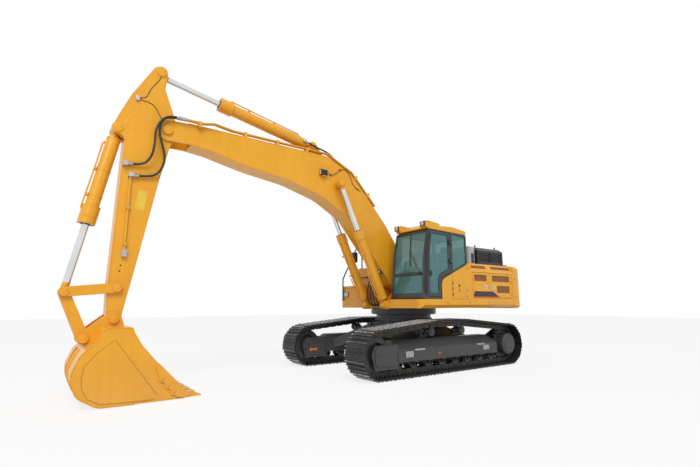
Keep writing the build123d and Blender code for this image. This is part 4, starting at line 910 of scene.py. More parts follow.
def makeCylinderFittings():
    for name, facts in cylinders.items():
        base, tip = pins[facts["base"]], pins[facts["tip"]]
        pipes, seals, bands, bolts = Shape(), Shape(), Shape(), []
        radius, gland, rod = facts["radius"], facts["gland"], facts["rod"]
        length, glandLong, side = facts["length"], facts["glandLong"], facts["pipeSide"]
        shift = 0.035

        def at(along, out=0.0, y=0.0):
            return onAxis(base, tip, along, out, y)
        aim = Vector(at(1.0)) - Vector(at(0.0))
        for y in facts["y"]:
            end = at(length, 0.0, y)
            bolts += boltRing(end, aim, gland - 0.024, cylinderFit["bolts"], cylinderFit["boltSize"], 0.2)
            seals.turned([(0.0, rod + 0.001), (0.0, rod + 0.022), (0.01, rod + 0.018),
                          (cylinderFit["wiper"], rod + 0.001)],
                         end, aim, 40)
            for along in (length - glandLong - 0.002, length - glandLong * 0.45):
                bands.turned([(0.0, gland - 0.006), (0.004, gland + 0.004), (0.02, gland + 0.004),
                              (0.024, gland - 0.006)], at(along, 0.0, y), aim, 48)
            bands.turned([(0.0, radius - 0.004), (0.003, radius + 0.006), (0.03, radius + 0.006),
                          (0.034, radius - 0.004)], at(facts["start"] + 0.004, 0.0, y), aim, 48)
            out = side * (radius + cylinderFit["stand"])
            portOut = side * radius * 0.8
            first, last = facts["start"] + 0.1, length - glandLong * 0.72
            for sign in (-1, 1):
                near = first if sign < 0 else last
                far = length * 0.42 if sign < 0 else first + 0.1
                across = y + sign * shift
                route = [at(near, portOut, across), at(near, out * 1.02, across),
                         at(near - sign * 0.06, out * 1.06, across),
                         at((near + far) / 2, out, across), at(far, out, across)]
                pipes.tube(routePoints(route), cylinderFit["pipe"], 12)
                pipes.rod(at(near, portOut, across), at(near, out * 0.96, across), 0.024, 6)
            for along in (0.45, 0.72):
                place = at(length * along, 0.0, y)
                bands.turned([(-0.018, radius - 0.003), (-0.018, radius + 0.004), (0.018, radius + 0.004),
                              (0.018, radius - 0.003)], place, aim, 48)
                hold = Vector(at(length * along, side * (radius + 0.016), y))
                half = Vector((0.02, 0.062, 0.02))
                bands.box(hold - half, hold + half, Matrix.Rotation(math.atan2(aim.x, aim.z), 4, "Y"))
        pipes.piece("cylinderPipes_" + name, "yellow", facts["body"], "yellow_paint")
        bands.piece("cylinderBands_" + name, "yellow", facts["body"], "yellow_paint", 0.001)
        seals.piece("rodSeals_" + name, "rubber", facts["body"], "hose_rubber")
        scatterBolts("glandBolts_" + name, bolts, "steel", facts["body"])


makeCylinderFittings()
print("cylinders ready")


# undercarriage
belt = {
    "y": 1.295, "shoes": 49, "pinLine": 0.05, "linkHeight": 0.112, "shoeThick": 0.014,
    "wheels": [(-2.02, 0.478, 0.32), (-0.49, 0.85, 0.09), (0.49, 0.85, 0.09), (2.02, 0.478, 0.32)],
}
trackLink = {"band": (0.055, 0.095), "railHalf": 0.076, "boss": 0.04, "pin": 0.021, "bush": 0.033,
             "pinEnd": 0.104}
shoeBolt = {"along": 0.044, "across": 0.075, "size": 0.0105}


def beltFrames():
    # middle of each shoe on the pin line: x, z, angle of its outward normal; and the pitch
    wheels = [(x, z, r + belt["pinLine"]) for x, z, r in belt["wheels"]]
    following = wheels[1:] + wheels[:1]
    normals = []
    for (x1, z1, r1), (x2, z2, r2) in zip(wheels, following):
        normals.append(math.atan2(z2 - z1, x2 - x1) + math.acos((r1 - r2) / math.hypot(x2 - x1, z2 - z1)))
    pieces = []
    for i, (x, z, r) in enumerate(wheels):
        x2, z2, r2 = following[i]
        pieces.append((((normals[i - 1] - normals[i]) % (2 * pi)) * r, True, x, z, r, normals[i - 1]))
        run = math.sqrt((x2 - x) ** 2 + (z2 - z) ** 2 - (r - r2) ** 2)
        pieces.append((run, False, x + r * cos(normals[i]), z + r * sin(normals[i]), r, normals[i]))
    total = sum(piece[0] for piece in pieces)
    spots = []
    for k in range(belt["shoes"]):
        along = total * k / belt["shoes"]
        for length, isArc, x, z, r, normal in pieces:
            if along <= length:
                break
            along -= length
        if isArc:
            normal -= along / r
            spots.append((x + r * cos(normal), z + r * sin(normal), normal))
        else:
            spots.append((x + along * sin(normal), z - along * cos(normal), normal))
    return spots, total / belt["shoes"]


beltSpots, beltPitch = beltFrames()


def beltTurn(normal):
    # X along the belt, Y across, Z outwards
    s, c = sin(normal), cos(normal)
    return Matrix(((s, 0.0, c), (0.0, 1.0, 0.0), (-c, 0.0, s)))


def onBelt(spot, y, along, across, height):
    x, z, normal = spot
    return tuple(Vector((x, y, z)) + beltTurn(normal) @ Vector((along, across, height)))


def linkMesh():
    # one pair of link plates with its pin and bushing
    shape = Shape()
    low, high = -belt["pinLine"], belt["linkHeight"] - belt["pinLine"]
    half, rail = beltPitch / 2, trackLink["railHalf"]
    near, far = trackLink["band"]
    middle = (near + far) / 2
    body = outlineOf([(-rail, low, 0.01), (rail, low, 0.01), (rail + 0.016, low + 0.03, 0.012),
                      (rail + 0.006, high, 0.012), (0.03, high, 0.01), (0.018, high - 0.022, 0.012),
                      (-0.018, high - 0.022, 0.012), (-0.03, high, 0.01), (-rail - 0.006, high, 0.012),
                      (-rail - 0.016, low + 0.03, 0.012)], 3)
    for side in (-1, 1):
        shape.plate(body, *span(side, near, far))
        for end, first, second in ((-1, near, middle), (1, middle, far)):
            boss = hullOf([(end * half, 0.0, trackLink["boss"]),
                           (end * (rail - 0.01), 0.0, trackLink["boss"])], 18)
            shape.plate(boss, *span(side, first + 0.001, second - 0.001))
    shape.rod((half, -trackLink["pinEnd"], 0.0), (half, trackLink["pinEnd"], 0.0), trackLink["pin"], 14)
    shape.rod((half, -near, 0.0), (half, near, 0.0), trackLink["bush"], 16)
    return shape.data("link", "track", 30.0)


def makeBelts():
    top = belt["linkHeight"] - belt["pinLine"] + belt["shoeThick"]
    for side, name in ((1, "left"), (-1, "right")):
        y = side * belt["y"]
        places = [((x, y, z), beltTurn(normal), 1.0) for x, z, normal in beltSpots]
        links = scatter("trackLinks_" + name, linkMesh(), places, "chain", "chassis")
        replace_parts(links, "track_chain_" + name)
        bolts = []
        for spot in beltSpots:
            bolts += [(onBelt(spot, y, a * shoeBolt["along"], b * shoeBolt["across"], top), beltTurn(spot[2]),
                       shoeBolt["size"])
                      for a in (-1, 1) for b in (-1, 1)]
        scatterBolts("shoeBolts_" + name, bolts, "darkSteel", "chassis")


makeBelts()
print("belts ready")


sideFrame = {
    "y": 1.295, "half": 0.19, "rollers": [-1.47, -1.05, -0.63, -0.21, 0.21, 0.63, 1.05, 1.47],
    "rollerZ": 0.25, "carrierX": 0.49, "carrierZ": 0.85, "hub": (-2.02, 0.478), "hubFace": 0.262,
    "cover": [(1.575, 0.25, 0.03), (2.06, 0.25, 0.04), (2.12, 0.33, 0.05), (2.12, 0.57, 0.05),
              (2.06, 0.628, 0.04), (1.575, 0.628, 0.03)],
    "coverEdge": [(1.515, 0.305), (1.545, 0.53)], "coverThick": 0.014, "coverHole": (2.045, 0.48),
    "coverHoleHalf": 0.022, "blankPlates": [((1.126, 0.385), (1.33, 0.5)), ((0.8, 0.505), (1.08, 0.538)),
                                            ((-1.15, 0.505), (-0.88, 0.538)),
                    ((-1.31, 0.39), (-1.1, 0.49))],
    "slot": (0.493, 0.48), "arrow": (0.36, 0.41, 0.1), "farArrow": (1.905, 0.372, 0.25),
}


def arrowOutline(x, z, size):
    # swept back arrow that points forwards
    rows = [(0.5, 0.0), (0.24, 0.2), (0.24, 0.075), (-0.28, 0.075), (-0.42, 0.19), (-0.34, 0.0),
            (-0.42, -0.19), (-0.28, -0.075), (0.24, -0.075), (0.24, -0.2)]
    return [(x + a * size, z + b * size) for a, b in rows]


def makeSideFrames():
    facts = sideFrame
    for side, name in ((1, "left"), (-1, "right")):
        centre = side * facts["y"]
        covers, caps, marks, holeShades, plates, bolts, dull = Shape(), Shape(), Shape(), Shape(), Shape(), [], []
        for out in (-1, 1):
            face = centre + out * facts["half"]
            covers.plate(outlineOf(facts["cover"], 4), *span(out, -0.002, facts["coverThick"], face))
            # black plate on the yoke cover: painted shade standing for the hole's dark inside
            hx, hz = facts["coverHole"]
            half = facts["coverHoleHalf"]
            holeShades.plate(rounded((hx - half, hz - half), (hx + half, hz + half), 0.006, 3),
                        *span(out, facts["coverThick"] - 0.001, facts["coverThick"] + 0.001, face))
            covers.plate(rounded(*facts["coverEdge"], 0.004, 3), *span(out, -0.002, 0.01, face))
            for x in facts["rollers"]:
                place = centre + out * 0.15
                caps.turned([(0.0, 0.044), (0.02, 0.044), (0.027, 0.036), (0.027, 0.01)],
                            (x, place, facts["rollerZ"]), (0, out, 0), 24)
                bolts += [((x + dx, centre + out * 0.177, facts["rollerZ"] + dz), (0, out, 0), 0.01)
                          for dx in (-0.03, 0.03) for dz in (0.036, -0.03)]
        outer = centre + side * facts["half"]
        for low, high in facts["blankPlates"]:
            plates.plate(rounded(low, high, 0.006, 3), *span(side, -0.001, 0.002, outer))
        # black slot on the frame's side: painted shade standing for the slot's dark opening
        sx, sz = facts["slot"]
        holeShades.plate(hullOf([(sx, sz - 0.028, 0.017), (sx, sz + 0.028, 0.017)], 16),
                    *span(side, -0.001, 0.001, outer))
        marks.plate(arrowOutline(*facts["arrow"]), *span(side, -0.001, 0.0015, outer))
        inner = centre - side * facts["half"]
        marks.plate(arrowOutline(*facts["farArrow"]),
                    *span(-side, facts["coverThick"] - 0.001, facts["coverThick"] + 0.0015, inner))
        for x in (-facts["carrierX"], facts["carrierX"]):
            caps.turned([(0.0, 0.06), (0.008, 0.06), (0.012, 0.054), (0.012, 0.01)],
                        (x, centre + side * 0.099, facts["carrierZ"]), (0, side, 0), 32)
            dull += boltRing((x, centre + side * 0.111, facts["carrierZ"]), (0, side, 0), 0.042, 6, 0.007)
            dull += [((x + dx, centre - side * 0.13, 0.735), (0, side, 0), 0.011) for dx in (-0.06, 0.06)]
        hx, hz = facts["hub"]
        face = centre + side * facts["hubFace"]
        caps.turned([(0.0, 0.192), (0.004, 0.192), (0.007, 0.186), (0.007, 0.15), (0.002, 0.146),
                     (0.002, 0.01)], (hx, face, hz),
                    (0, side, 0), 64)
        dull += [((hx + 0.105 * cos(a), face + side * 0.002, hz + 0.105 * sin(a)), (0, side, 0), 0.014)
                 for a in (radians(-60), radians(-120), radians(90))]
        dull += boltRing((hx, centre + side * 0.222, hz), (0, side, 0), 0.232, 20, 0.011)
        dull += boltRing((hx, centre + side * 0.041, hz), (0, side, 0), 0.275, 24, 0.012)
        for x in (-1.35, -0.9, 0.0, 0.9, 1.35):
            dull += [((x + dx, outer, 0.333), (0, side, 0), 0.009) for dx in (-0.11, 0.11)]
        covers.piece("yokeCovers_" + name, "frame", "chassis", "undercarriage_paint", 0.003)
        caps.piece("rollerCaps_" + name, "frame", "chassis", "undercarriage_paint", 0.001)
        holeShades.piece("frameHoles_" + name, "black", "chassis", "undercarriage_paint")
        marks.piece("arrows_" + name, "orangeMark", "chassis", "undercarriage_paint")
        plates.piece("blankPlates_" + name, "blankPlate", "chassis", "undercarriage_paint")
        scatterBolts("rollerBolts_" + name, bolts, "darkSteel", "chassis")
        scatterBolts("frameBolts_" + name, dull, "frame", "chassis")


def makeSwing():
    bolts = boltRing((0, 0, 1.0905), (0, 0, 1), 0.678, 40, 0.0125)
    scatterBolts("bearingBolts", bolts, "darkSteel", "chassis")
    low = boltRing((0, 0, 1.2), (0, 0, -1), 0.745, 44, 0.015)
    scatterBolts("slewBolts", low, "darkSteel", "house")
    seal = Shape().turned([(0.0, 0.655), (0.0, 0.672), (0.008, 0.676), (0.016, 0.672), (0.016, 0.655)],
                          (0, 0, 1.1765), (0, 0, 1), 96)
    seal.piece("bearingSeal", "rubber", "chassis", "hose_rubber")
    welds = Shape()
    for end in (-1, 1):
        for side in (-1, 1):
            welds.tube([(end * 0.585, side * 1.105, 0.372), (end * 0.585, side * 1.105, 0.588),
                        (end * 1.335, side * 1.105, 0.588), (end * 1.335, side * 1.105, 0.372)], 0.007, 8)
    welds.tube([(0.643 * cos(a), 0.643 * sin(a), 0.982) for a in (2 * pi * k / 72 for k in range(73))], 0.008,
               8)
    welds.piece("legWelds", "frame", "chassis", "undercarriage_paint")


makeSideFrames()
makeSwing()
print("undercarriage ready")


# house panels
houseSide = 1.49
grilles = [
    # name, body, x from and to, z from and to, side
    ("frontUpper", "left_front_door", (-1.355, -0.89), (1.96, 2.11), 1),
    ("rearUpper", "left_rear_door", (-2.26, -1.56), (1.96, 2.11), 1),
    ("rearLower", "left_rear_door", (-2.26, -1.743), (1.692, 1.86), 1),
    ("pumpUpper", "right_pump_door", (-2.24, -1.6), (1.96, 2.11), -1),
]
grilleMesh = {"pitch": 0.02, "wire": 0.0022, "inset": 0.012, "back": 0.026, "trim": 0.0006, "rim": 0.006,
              "sheet": 0.002}
bevelGrilles = {"x": [(-1.394, -0.84), (-2.363, -1.593)], "bottom": 2.18, "rise": 0.197, "inset": 0.1,
                "along": 0.08, "share": 0.6}


def wireItem():
    return Shape().box((-0.5, -0.5, -0.5), (0.5, 0.5, 0.5)).data("wire", "grille")


def makeMesh(name, body, frameTurn, wide, high):
    # wire mesh in the plane of local X and Y, centred, with its backing sheet below
    facts = grilleMesh
    places = []

    def add(x, y, z, *size):
        places.append((tuple(frameTurn @ Vector((x, y, z))), frameTurn.to_3x3(), size))
    wires = max(2, round(wide / facts["pitch"]))
    for k in range(1, wires):
        add(-wide / 2 + wide * k / wires, 0.0, 0.0, facts["wire"] * 2, high, facts["wire"])
    wires = max(2, round(high / facts["pitch"]))
    for k in range(1, wires):
        add(0.0, -high / 2 + high * k / wires, facts["wire"], wide, facts["wire"] * 2, facts["wire"])
    add(0.0, 0.0, facts["inset"] - facts["back"], wide, high, facts["sheet"])
    rim, half = facts["rim"], facts["rim"] / 2
    for side in (-1, 1):
        add(0.0, side * (high / 2 - half), 0.002, wide, rim, 0.006)
        add(side * (wide / 2 - half), 0.0, 0.002, rim, high, 0.006)
    scatter("mesh_" + name, wireItem(), places, "grille", body)


def makeGrilles():
    trim = grilleMesh["trim"]
    for name, body, (x0, x1), (z0, z1), side in grilles:
        place = Matrix.Translation(((x0 + x1) / 2, side * (houseSide - grilleMesh["inset"]), (z0 + z1) / 2))
        turn = Matrix(((-side, 0, 0, 0), (0, 0, side, 0), (0, 1, 0, 0), (0, 0, 0, 1)))
        makeMesh(name, body, place @ turn, x1 - x0 - 2 * trim, z1 - z0 - 2 * trim)
    facts = bevelGrilles
    slope = Vector((0.0, facts["rise"], facts["inset"])).normalized()
    upwards = Vector((0.0, -slope.z, slope.y))
    for k, (x0, x1) in enumerate(facts["x"]):
        middle = Vector(((x0 + x1) / 2, houseSide - facts["inset"] / 2,
                         facts["bottom"] + facts["share"] * facts["rise"]))
        along = Vector((-1.0, 0.0, 0.0))
        turn = Matrix((along, upwards, slope)).transposed().to_4x4()
        makeMesh(f"bevel_{k}", "house", Matrix.Translation(middle - slope * 0.012) @ turn, x1 - x0 - 2 * trim,
                 facts["along"] - 2 * trim)


latches = [("left_front_door", -1.31, 1.82, 1), ("left_rear_door", -1.628, 1.82, 1),
           ("right_pump_door", -2.2, 1.82, -1)]
stripe = {"bottom": 1.58, "top": 1.722, "band": 0.022, "front": -0.845, "meet": (-1.447, -1.453),
          "rearTop": -1.585, "rearBottom": -1.85}


def makeDoorDetails():
    for body, x, z, side in latches:
        rim, pad = Shape(), Shape()
        for shape, wide, high, radius, first, second in ((rim, 0.052, 0.04, 0.012, -0.001, 0.005),
                                                         (pad, 0.04, 0.028, 0.008, 0.004, 0.0075)):
            shape.plate(rounded((x - wide, z - high), (x + wide, z + high), radius),
                        *span(side, houseSide + first, houseSide + second))
        rim.turned([(0.0, 0.013), (0.004, 0.013), (0.004, 0.009), (0.0035, 0.001)],
                   (x - 0.02, side * (houseSide + 0.007), z), (0, side, 0), 24)
        rim.piece("latchRim_" + body, "chrome", body, "rod_chrome", 0.001)
        pad.piece("latchPad_" + body, "blankPlate", body, "rod_chrome", 0.001)
    facts = stripe
    y = (houseSide - 0.0005, houseSide + 0.001)
    over = (houseSide, houseSide + 0.0016)
    slope = (facts["rearTop"] - facts["rearBottom"]) / (facts["top"] - facts["bottom"])
    bandRear = facts["rearBottom"] + slope * facts["band"]
    front, meet, rear = facts["front"], facts["meet"][0], facts["meet"][1]
    low, high, red = facts["bottom"], facts["top"], facts["bottom"] + facts["band"]
    for name, finish, body, outline, depth in (
            ("stripeFront", "stripe", "left_front_door",
             [(front, low), (meet, low), (meet, high), (front, high)], y),
            ("redFront", "redMark", "left_front_door",
             [(front, low), (meet, low), (meet, red), (front, red)], over),
            ("stripeRear", "stripe", "left_rear_door",
             [(rear, low), (facts["rearBottom"], low), (facts["rearTop"], high), (rear, high)], y),
            ("redRear", "redMark", "left_rear_door",
             [(rear, low), (facts["rearBottom"], low), (bandRear, red), (rear, red)], over)):
        Shape().plate(outline, *depth).piece(name, finish, body, "black_paint")
    seam, bits, bolts = Shape(), Shape(), []
    seam.box((-0.1225, houseSide - 0.001, 1.536), (-0.1175, houseSide + 0.0006, 2.12))
    seam.box((-0.1225, houseSide - 0.001, 1.534), (-0.7, houseSide + 0.0006, 1.539))
    seam.box((-2.395, houseSide - 0.001, 1.536), (-2.39, houseSide + 0.0006, 2.17))
    for z in (1.64, 1.76, 1.88):
        bits.turned([(-0.034, 0.008), (0.034, 0.008)], (-0.12, houseSide + 0.004, z), (0, 0, 1), 16)
        bits.box((-0.15, houseSide - 0.001, z - 0.03), (-0.12, houseSide + 0.003, z + 0.03))
    for x, z in ((-0.62, 1.744), (-0.655, 2.233), (-0.61, 1.597)):
        bits.turned([(-0.001, 0.016), (0.004, 0.016), (0.007, 0.01), (0.007, 0.002)], (x, houseSide, z),
                    (0, 1, 0), 24)
    bolts += [((x, houseSide, 1.556), (0, 1, 0), 0.006) for x in (0.12, -0.06, -0.25, -0.45, -0.7)]
    bolts += [((x, houseSide, 1.46), (0, 1, 0), 0.01) for x in (0.057, -1.381, -2.05, -0.7)]
    bits.turned([(-0.001, 0.03), (0.003, 0.03), (0.005, 0.024), (0.004, 0.016), (0.001, 0.014),
                 (0.001, 0.004)], (-0.355, houseSide, 1.835), (0, 1, 0), 32)
    bits.box((-0.372, houseSide - 0.001, 1.7), (-0.338, houseSide + 0.002, 1.765))
    seam.piece("panelSeams", "black", "house", "black_paint")
    bits.piece("panelBits", "darkSteel", "house", "black_paint", 0.001)
    scatterBolts("panelBolts", bolts, "darkSteel", "house")


makeGrilles()
makeDoorDetails()
print("house panels ready")


# engine hood, air box, counterweight
hood = {"front": -1.37, "rear": -2.4, "left": 1.25, "right": -0.7, "base": 2.382, "top": 2.82,
        "louvreX": [(-1.86, -1.44), (-2.33, -1.91)], "louvres": 5, "louvreTilt": -28, "ribs": 9,
        "ribPitch": 0.095, "knobX": (-1.45, -2.25), "knobY": 1.12, "latchY": (1.0, -0.45),
        "exhaust": (-2.15, -0.2)}


def makeHood():
    facts = hood
    backs, knob, ribs = Shape(), Shape(), []
    for y, side in ((facts["left"], 1), (facts["right"], -1)):
        for x0, x1 in facts["louvreX"]:
            inner = y - side * 0.024
            backs.box((x0 - 0.01, min(inner, inner - side * 0.004), facts["base"] + 0.08),
                      (x1 + 0.01, max(inner, inner - side * 0.004), facts["top"] - 0.1))
            count = facts["louvres"]
            pitch = (facts["top"] - 0.11 - facts["base"] - 0.09) / count
            for k in range(count):
                z = facts["base"] + 0.09 + k * pitch + 0.55 * pitch
                ribs.append((((x0 + x1) / 2, y + side * 0.004, z + 0.004),
                             Matrix.Rotation(side * radians(facts["louvreTilt"]), 3, "X"),
                             (x1 - x0 + 0.012, 0.026, 0.003)))
            for x in (x0 - 0.012, x1 + 0.012):
                ribs.append(((x, y + side * 0.001, facts["base"] + 0.09 + pitch * count / 2),
                             Matrix.Identity(3), (0.012, 0.008, pitch * count + 0.02)))
    for k in range(facts["ribs"]):
        x = facts["rear"] + 0.14 + k * facts["ribPitch"]
        ribs.append(((x, 0.62, facts["top"] + 0.001), Matrix.Identity(3), (0.04, 0.8, 0.008)))
    for x in facts["knobX"]:
        knob.turned([(-0.002, 0.02), (0.02, 0.014), (0.045, 0.014), (0.052, 0.026), (0.066, 0.026),
                     (0.072, 0.018), (0.072, 0.003)],
                    (x, facts["knobY"], facts["top"] - 0.01), (0, 0, 1), 28)
    for y in facts["latchY"]:
        knob.box((facts["front"] - 0.001, y - 0.045, 2.47), (facts["front"] + 0.01, y + 0.045, 2.56))
        knob.box((facts["front"] + 0.008, y - 0.016, 2.478), (facts["front"] + 0.02, y + 0.016, 2.548))
    knob.tube([(facts["front"] + 0.004, 0.02, 2.7), (facts["front"] + 0.024, 0.04, 2.7),
               (facts["front"] + 0.024, 0.2, 2.7), (facts["front"] + 0.004, 0.22, 2.7)], 0.008, 10)
    backs.piece("hoodBacks", "black", "engine_hood", "black_paint")
    knob.piece("hoodKnobs", "darkSteel", "engine_hood", "pipe_steel", 0.001)
    scatter("hoodRibs", wireItem(), ribs, "gloss", "engine_hood")
    pipe = Shape()
    pipe.turned([(0.0, 0.095), (0.004, 0.1), (0.03, 0.1), (0.034, 0.062), (0.15, 0.06), (0.155, 0.066),
                 (0.175, 0.066), (0.175, 0.056), (0.06, 0.054)], (*facts["exhaust"], facts["top"] - 0.004),
                 (0, 0, 1), 40)
    pipe.piece("exhaust", "darkSteel", "engine_hood", "pipe_steel")


airBox = {"slats": 9, "slatBase": 2.43, "slatPitch": 0.024, "slatHigh": 0.01}


def makeAirBox():
    x0, x1 = hood["front"] + 0.02, hood["front"] + 0.26
    y0, y1, z1 = 0.25, hood["left"] - 0.05, hood["top"]
    shape = Shape()
    for k in range(airBox["slats"]):
        z = airBox["slatBase"] + k * airBox["slatPitch"]
        shape.box((x1 - 0.001, y0 + 0.08, z), (x1 + 0.006, y1 - 0.08, z + airBox["slatHigh"]))
    shape.box((x0 + 0.07, y1 - 0.001, 2.42), (x1 - 0.07, y1 + 0.006, 2.66))
    shape.piece("airBoxSlats", "black", "house", "black_paint")
    cap = Shape()
    cap.turned([(-0.004, 0.1), (0.012, 0.1), (0.02, 0.094), (0.03, 0.06), (0.033, 0.01)],
               (x0 + 0.12, y1 - 0.16, z1), (0, 0, 1), 40)
    cap.piece("airBoxCap", "airBox", "house", "grey_paint")


counter = {"radius": 3.44, "lampY": (-1.0, 1.0), "lampZ": 1.56, "plugY": (-0.42, 0.42), "plugZ": 1.48}


def makeCounterweight():
    r = counter["radius"]
    lamps, black, plates, bolts = Shape(), Shape(), Shape(), []
    for y in counter["lampY"]:
        x = -math.sqrt(r * r - y * y)
        out = Vector((x, y, 0)).normalized()
        place = Vector((x, y, counter["lampZ"])) - out * 0.012
        lamps.turned([(0.0, 0.052), (0.016, 0.052), (0.026, 0.044), (0.03, 0.01)], place, out, 36)
        black.turned([(-0.002, 0.066), (0.018, 0.066), (0.022, 0.06), (0.022, 0.052), (0.01, 0.052)], place,
                     out, 36)
    black.box((-r - 0.006, -0.05, 2.2), (-r + 0.06, 0.05, 2.27))
    lens = Shape().turned([(0.0, 0.02), (0.004, 0.02), (0.007, 0.012), (0.008, 0.002)],
                          (-r - 0.006, 0.0, 2.235), (-1, 0, 0), 24)
    for y in counter["plugY"]:
        x = -math.sqrt(r * r - y * y)
        black.turned([(0.0, 0.075), (0.004, 0.075), (0.004, 0.01)],
                     Vector((x, y, counter["plugZ"])) + Vector((0.003, 0, 0)), (-1, y / r, 0), 40)
    for side in (-1, 1):
        plates.box((-2.64, side * (houseSide - 0.001) - 0.002, 1.35),
                   (-2.47, side * (houseSide - 0.001) + 0.002, 1.362))
        bolts += [((-2.5, side * houseSide, z), (0, side, 0), 0.011) for z in (1.6, 2.05)]
    lamps.piece("tailLamps", "redLens", "house", "lamp")
    black.piece("tailFittings", "black", "house", "black_paint", 0.001)
    lens.piece("tailCamera", "lens", "house", "lamp")
    plates.piece("weightDrip", "black", "house", "black_paint")
    scatterBolts("weightBolts", bolts, "darkSteel", "house")


makeHood()
makeAirBox()
makeCounterweight()
print("hood and counterweight ready")


# deck, tank and tool box
railFeet = [(0.842, -1.4, 1.532), (-0.2, -1.4, 2.379), (0.28, -1.3, 2.379), (-0.7, -1.3, 2.379)]

gripPads = [
    # x from and to, y from and to, z
    (0.37, 0.77, -1.43, -0.66, 1.89), (-0.74, -0.08, -1.34, -0.62, 2.377), (-0.02, 0.28, -1.2, -0.62, 2.377),
]
gripPitch = 0.052


def makeDeck():
    flanges, bolts, grip, black, pads = Shape(), [], [], Shape(), Shape()
    for x, y, z in railFeet:
        flanges.turned([(-0.004, 0.045), (0.006, 0.045), (0.008, 0.042), (0.01, 0.022), (0.026, 0.019)],
                       (x, y, z), (0, 0, 1), 32)
        bolts += boltRing((x, y, z + 0.007), (0, 0, 1), 0.034, 4, 0.006, 0.6)
    pitch = gripPitch
    for x0, x1, y0, y1, z in gripPads:
        pads.plate([(x0, z - 0.001), (x1, z - 0.001), (x1, z + 0.003), (x0, z + 0.003)], y0, y1)
        countX, countY = int((x1 - x0 - 0.04) / pitch), int((y1 - y0 - 0.04) / pitch)
        for i in range(countX + 1):
            for j in range(countY + 1):
                shift = 0.026 if i % 2 else 0.0
                if y0 + 0.02 + j * pitch + shift > y1 - 0.012:
                    continue
                grip.append(((x0 + 0.02 + i * pitch, y0 + 0.02 + j * pitch + shift, z + 0.003), (0, 0, 1),
                             1.0))
    ring = Shape().turned([(0.0, 0.016), (0.004, 0.013), (0.004, 0.009), (0.0, 0.008)], (0, 0, 0), (0, 0, 1),
                          12)
    pads.piece("gripPads", "black", "house", "black_paint")
    scatter("gripRings", ring.data("gripRing", "black", 30.0), grip, "black", "house")
    flanges.piece("railFlanges", "black", "house", "black_paint")
    black.turned([(-0.002, 0.085), (0.01, 0.085), (0.014, 0.075), (0.05, 0.075), (0.058, 0.068),
                  (0.058, 0.012)], (-0.56, -0.68, 2.377), (0, 0, 1), 40)
    black.box((-0.6, -0.69, 2.43), (-0.52, -0.67, 2.452))
    black.box((0.8095, -1.405, 1.61), (0.826, -1.18, 1.74))
    black.box((0.8095, -0.98, 1.845), (0.822, -0.86, 1.87))
    for y in (-1.3, -0.8):
        black.turned([(-0.04, 0.009), (0.04, 0.009)], (0.335, y, 1.895), (0, 1, 0), 16)
    black.piece("deckFittings", "black", "house", "black_paint", 0.003)
    lens = Shape().box((0.8255, -1.392, 1.622), (0.83, -1.193, 1.728))
    lens.piece("boxLampGlass", "lens", "house", "lamp", 0.002)
    seams = Shape()
    seams.box((0.33 + 0.03, -1.4712, 1.832), (0.81 - 0.03, -1.4692, 1.836))
    seams.box((0.8098, -1.44, 1.832), (0.811, -0.65, 1.836))
    for x in (-0.25, 0.12):
        seams.box((x - 0.002, -1.4912, 1.56), (x + 0.002, -1.4895, 2.29))
    seams.piece("deckSeams", "black", "house", "black_paint")
    step = Shape()
    for z in (1.9, 2.12):
        step.tube([(0.335, -1.33, z), (0.405, -1.33, z), (0.405, -0.96, z), (0.335, -0.96, z)], 0.014, 10)
    step.piece("tankSteps", "black", "house", "black_paint")
    scatterBolts("deckBolts", bolts, "darkSteel", "house")


makeDeck()
print("deck ready")


# cab
cab = {"rear": -0.65, "right": 0.48, "left": 1.49, "floor": 1.53, "top": 3.06, "wall": 0.045, "nose": 0.8,
       "brow": 0.6, "bend": 2.5, "pillar": -0.085, "panes": [(1.64, 2.055), (2.09, 3.0)],
       "shoulder": [(0.22, 1.95), (-0.75, 2.377)], "doorFrame": 0.062, "windowFrame": 0.03,
       "rearWindow": (2.43, 2.93)}


def cabFront(z, inset=0.0):
    # x of the cab's front at a height
    rows = [(cab["nose"] - inset, cab["floor"] + inset, 0), (cab["brow"] + 0.12 - inset, cab["bend"], 0.9),
            (cab["brow"] - inset, cab["top"] - inset, 0), (-1.0, cab["top"] - inset, 0),
            (-1.0, cab["floor"] + inset, 0)]
    line = [p for p in outlineOf(rows, 10) if p[0] > 0]
    for (x0, z0), (x1, z1) in zip(line, line[1:]):
        if z0 <= z <= z1:
            return x0 + (x1 - x0) * (z - z0) / max(z1 - z0, 1e-6)
    return line[-1][0] if z > line[-1][1] else line[0][0]


def shoulderHeight(x):
    (x1, z1), (x2, z2) = cab["shoulder"]
    return z1 + (z2 - z1) * (x - x1) / (x2 - x1)


def doorRows(inset):
    x1, z1 = cab["shoulder"][0]
    low, high, pillar = cab["floor"] + 0.055 + inset, cab["top"] - 0.025 - inset, cab["pillar"]
    return [(x1 + 0.03 + inset, low, 0.04), (0.672 - inset, low, 0.06), (0.645 - inset, cab["bend"], 0.9),
            (0.575 - inset, high, 0.08), (pillar + inset, high - 0.015, 0.06),
            (pillar + inset, shoulderHeight(pillar) + 0.045 + inset, 0.04),
            (x1 + 0.03 + inset, z1 + 0.035 + inset, 0.17)]


def quarterRows():
    front, rear = cab["pillar"] - 0.062, cab["rear"] + cab["windowFrame"]
    return [(rear, shoulderHeight(rear) + cab["windowFrame"], 0.04),
            (front, shoulderHeight(front) + cab["windowFrame"], 0.05), (front, cab["top"] - 0.06, 0.06),
            (rear, cab["top"] - 0.09, 0.06)]


def rightRows():
    return [(cab["rear"] + 0.06, 2.2, 0.06), (0.5, 2.2, 0.06), (0.47, cab["top"] - 0.07, 0.09),
            (cab["rear"] + 0.06, cab["top"] - 0.1, 0.06)]


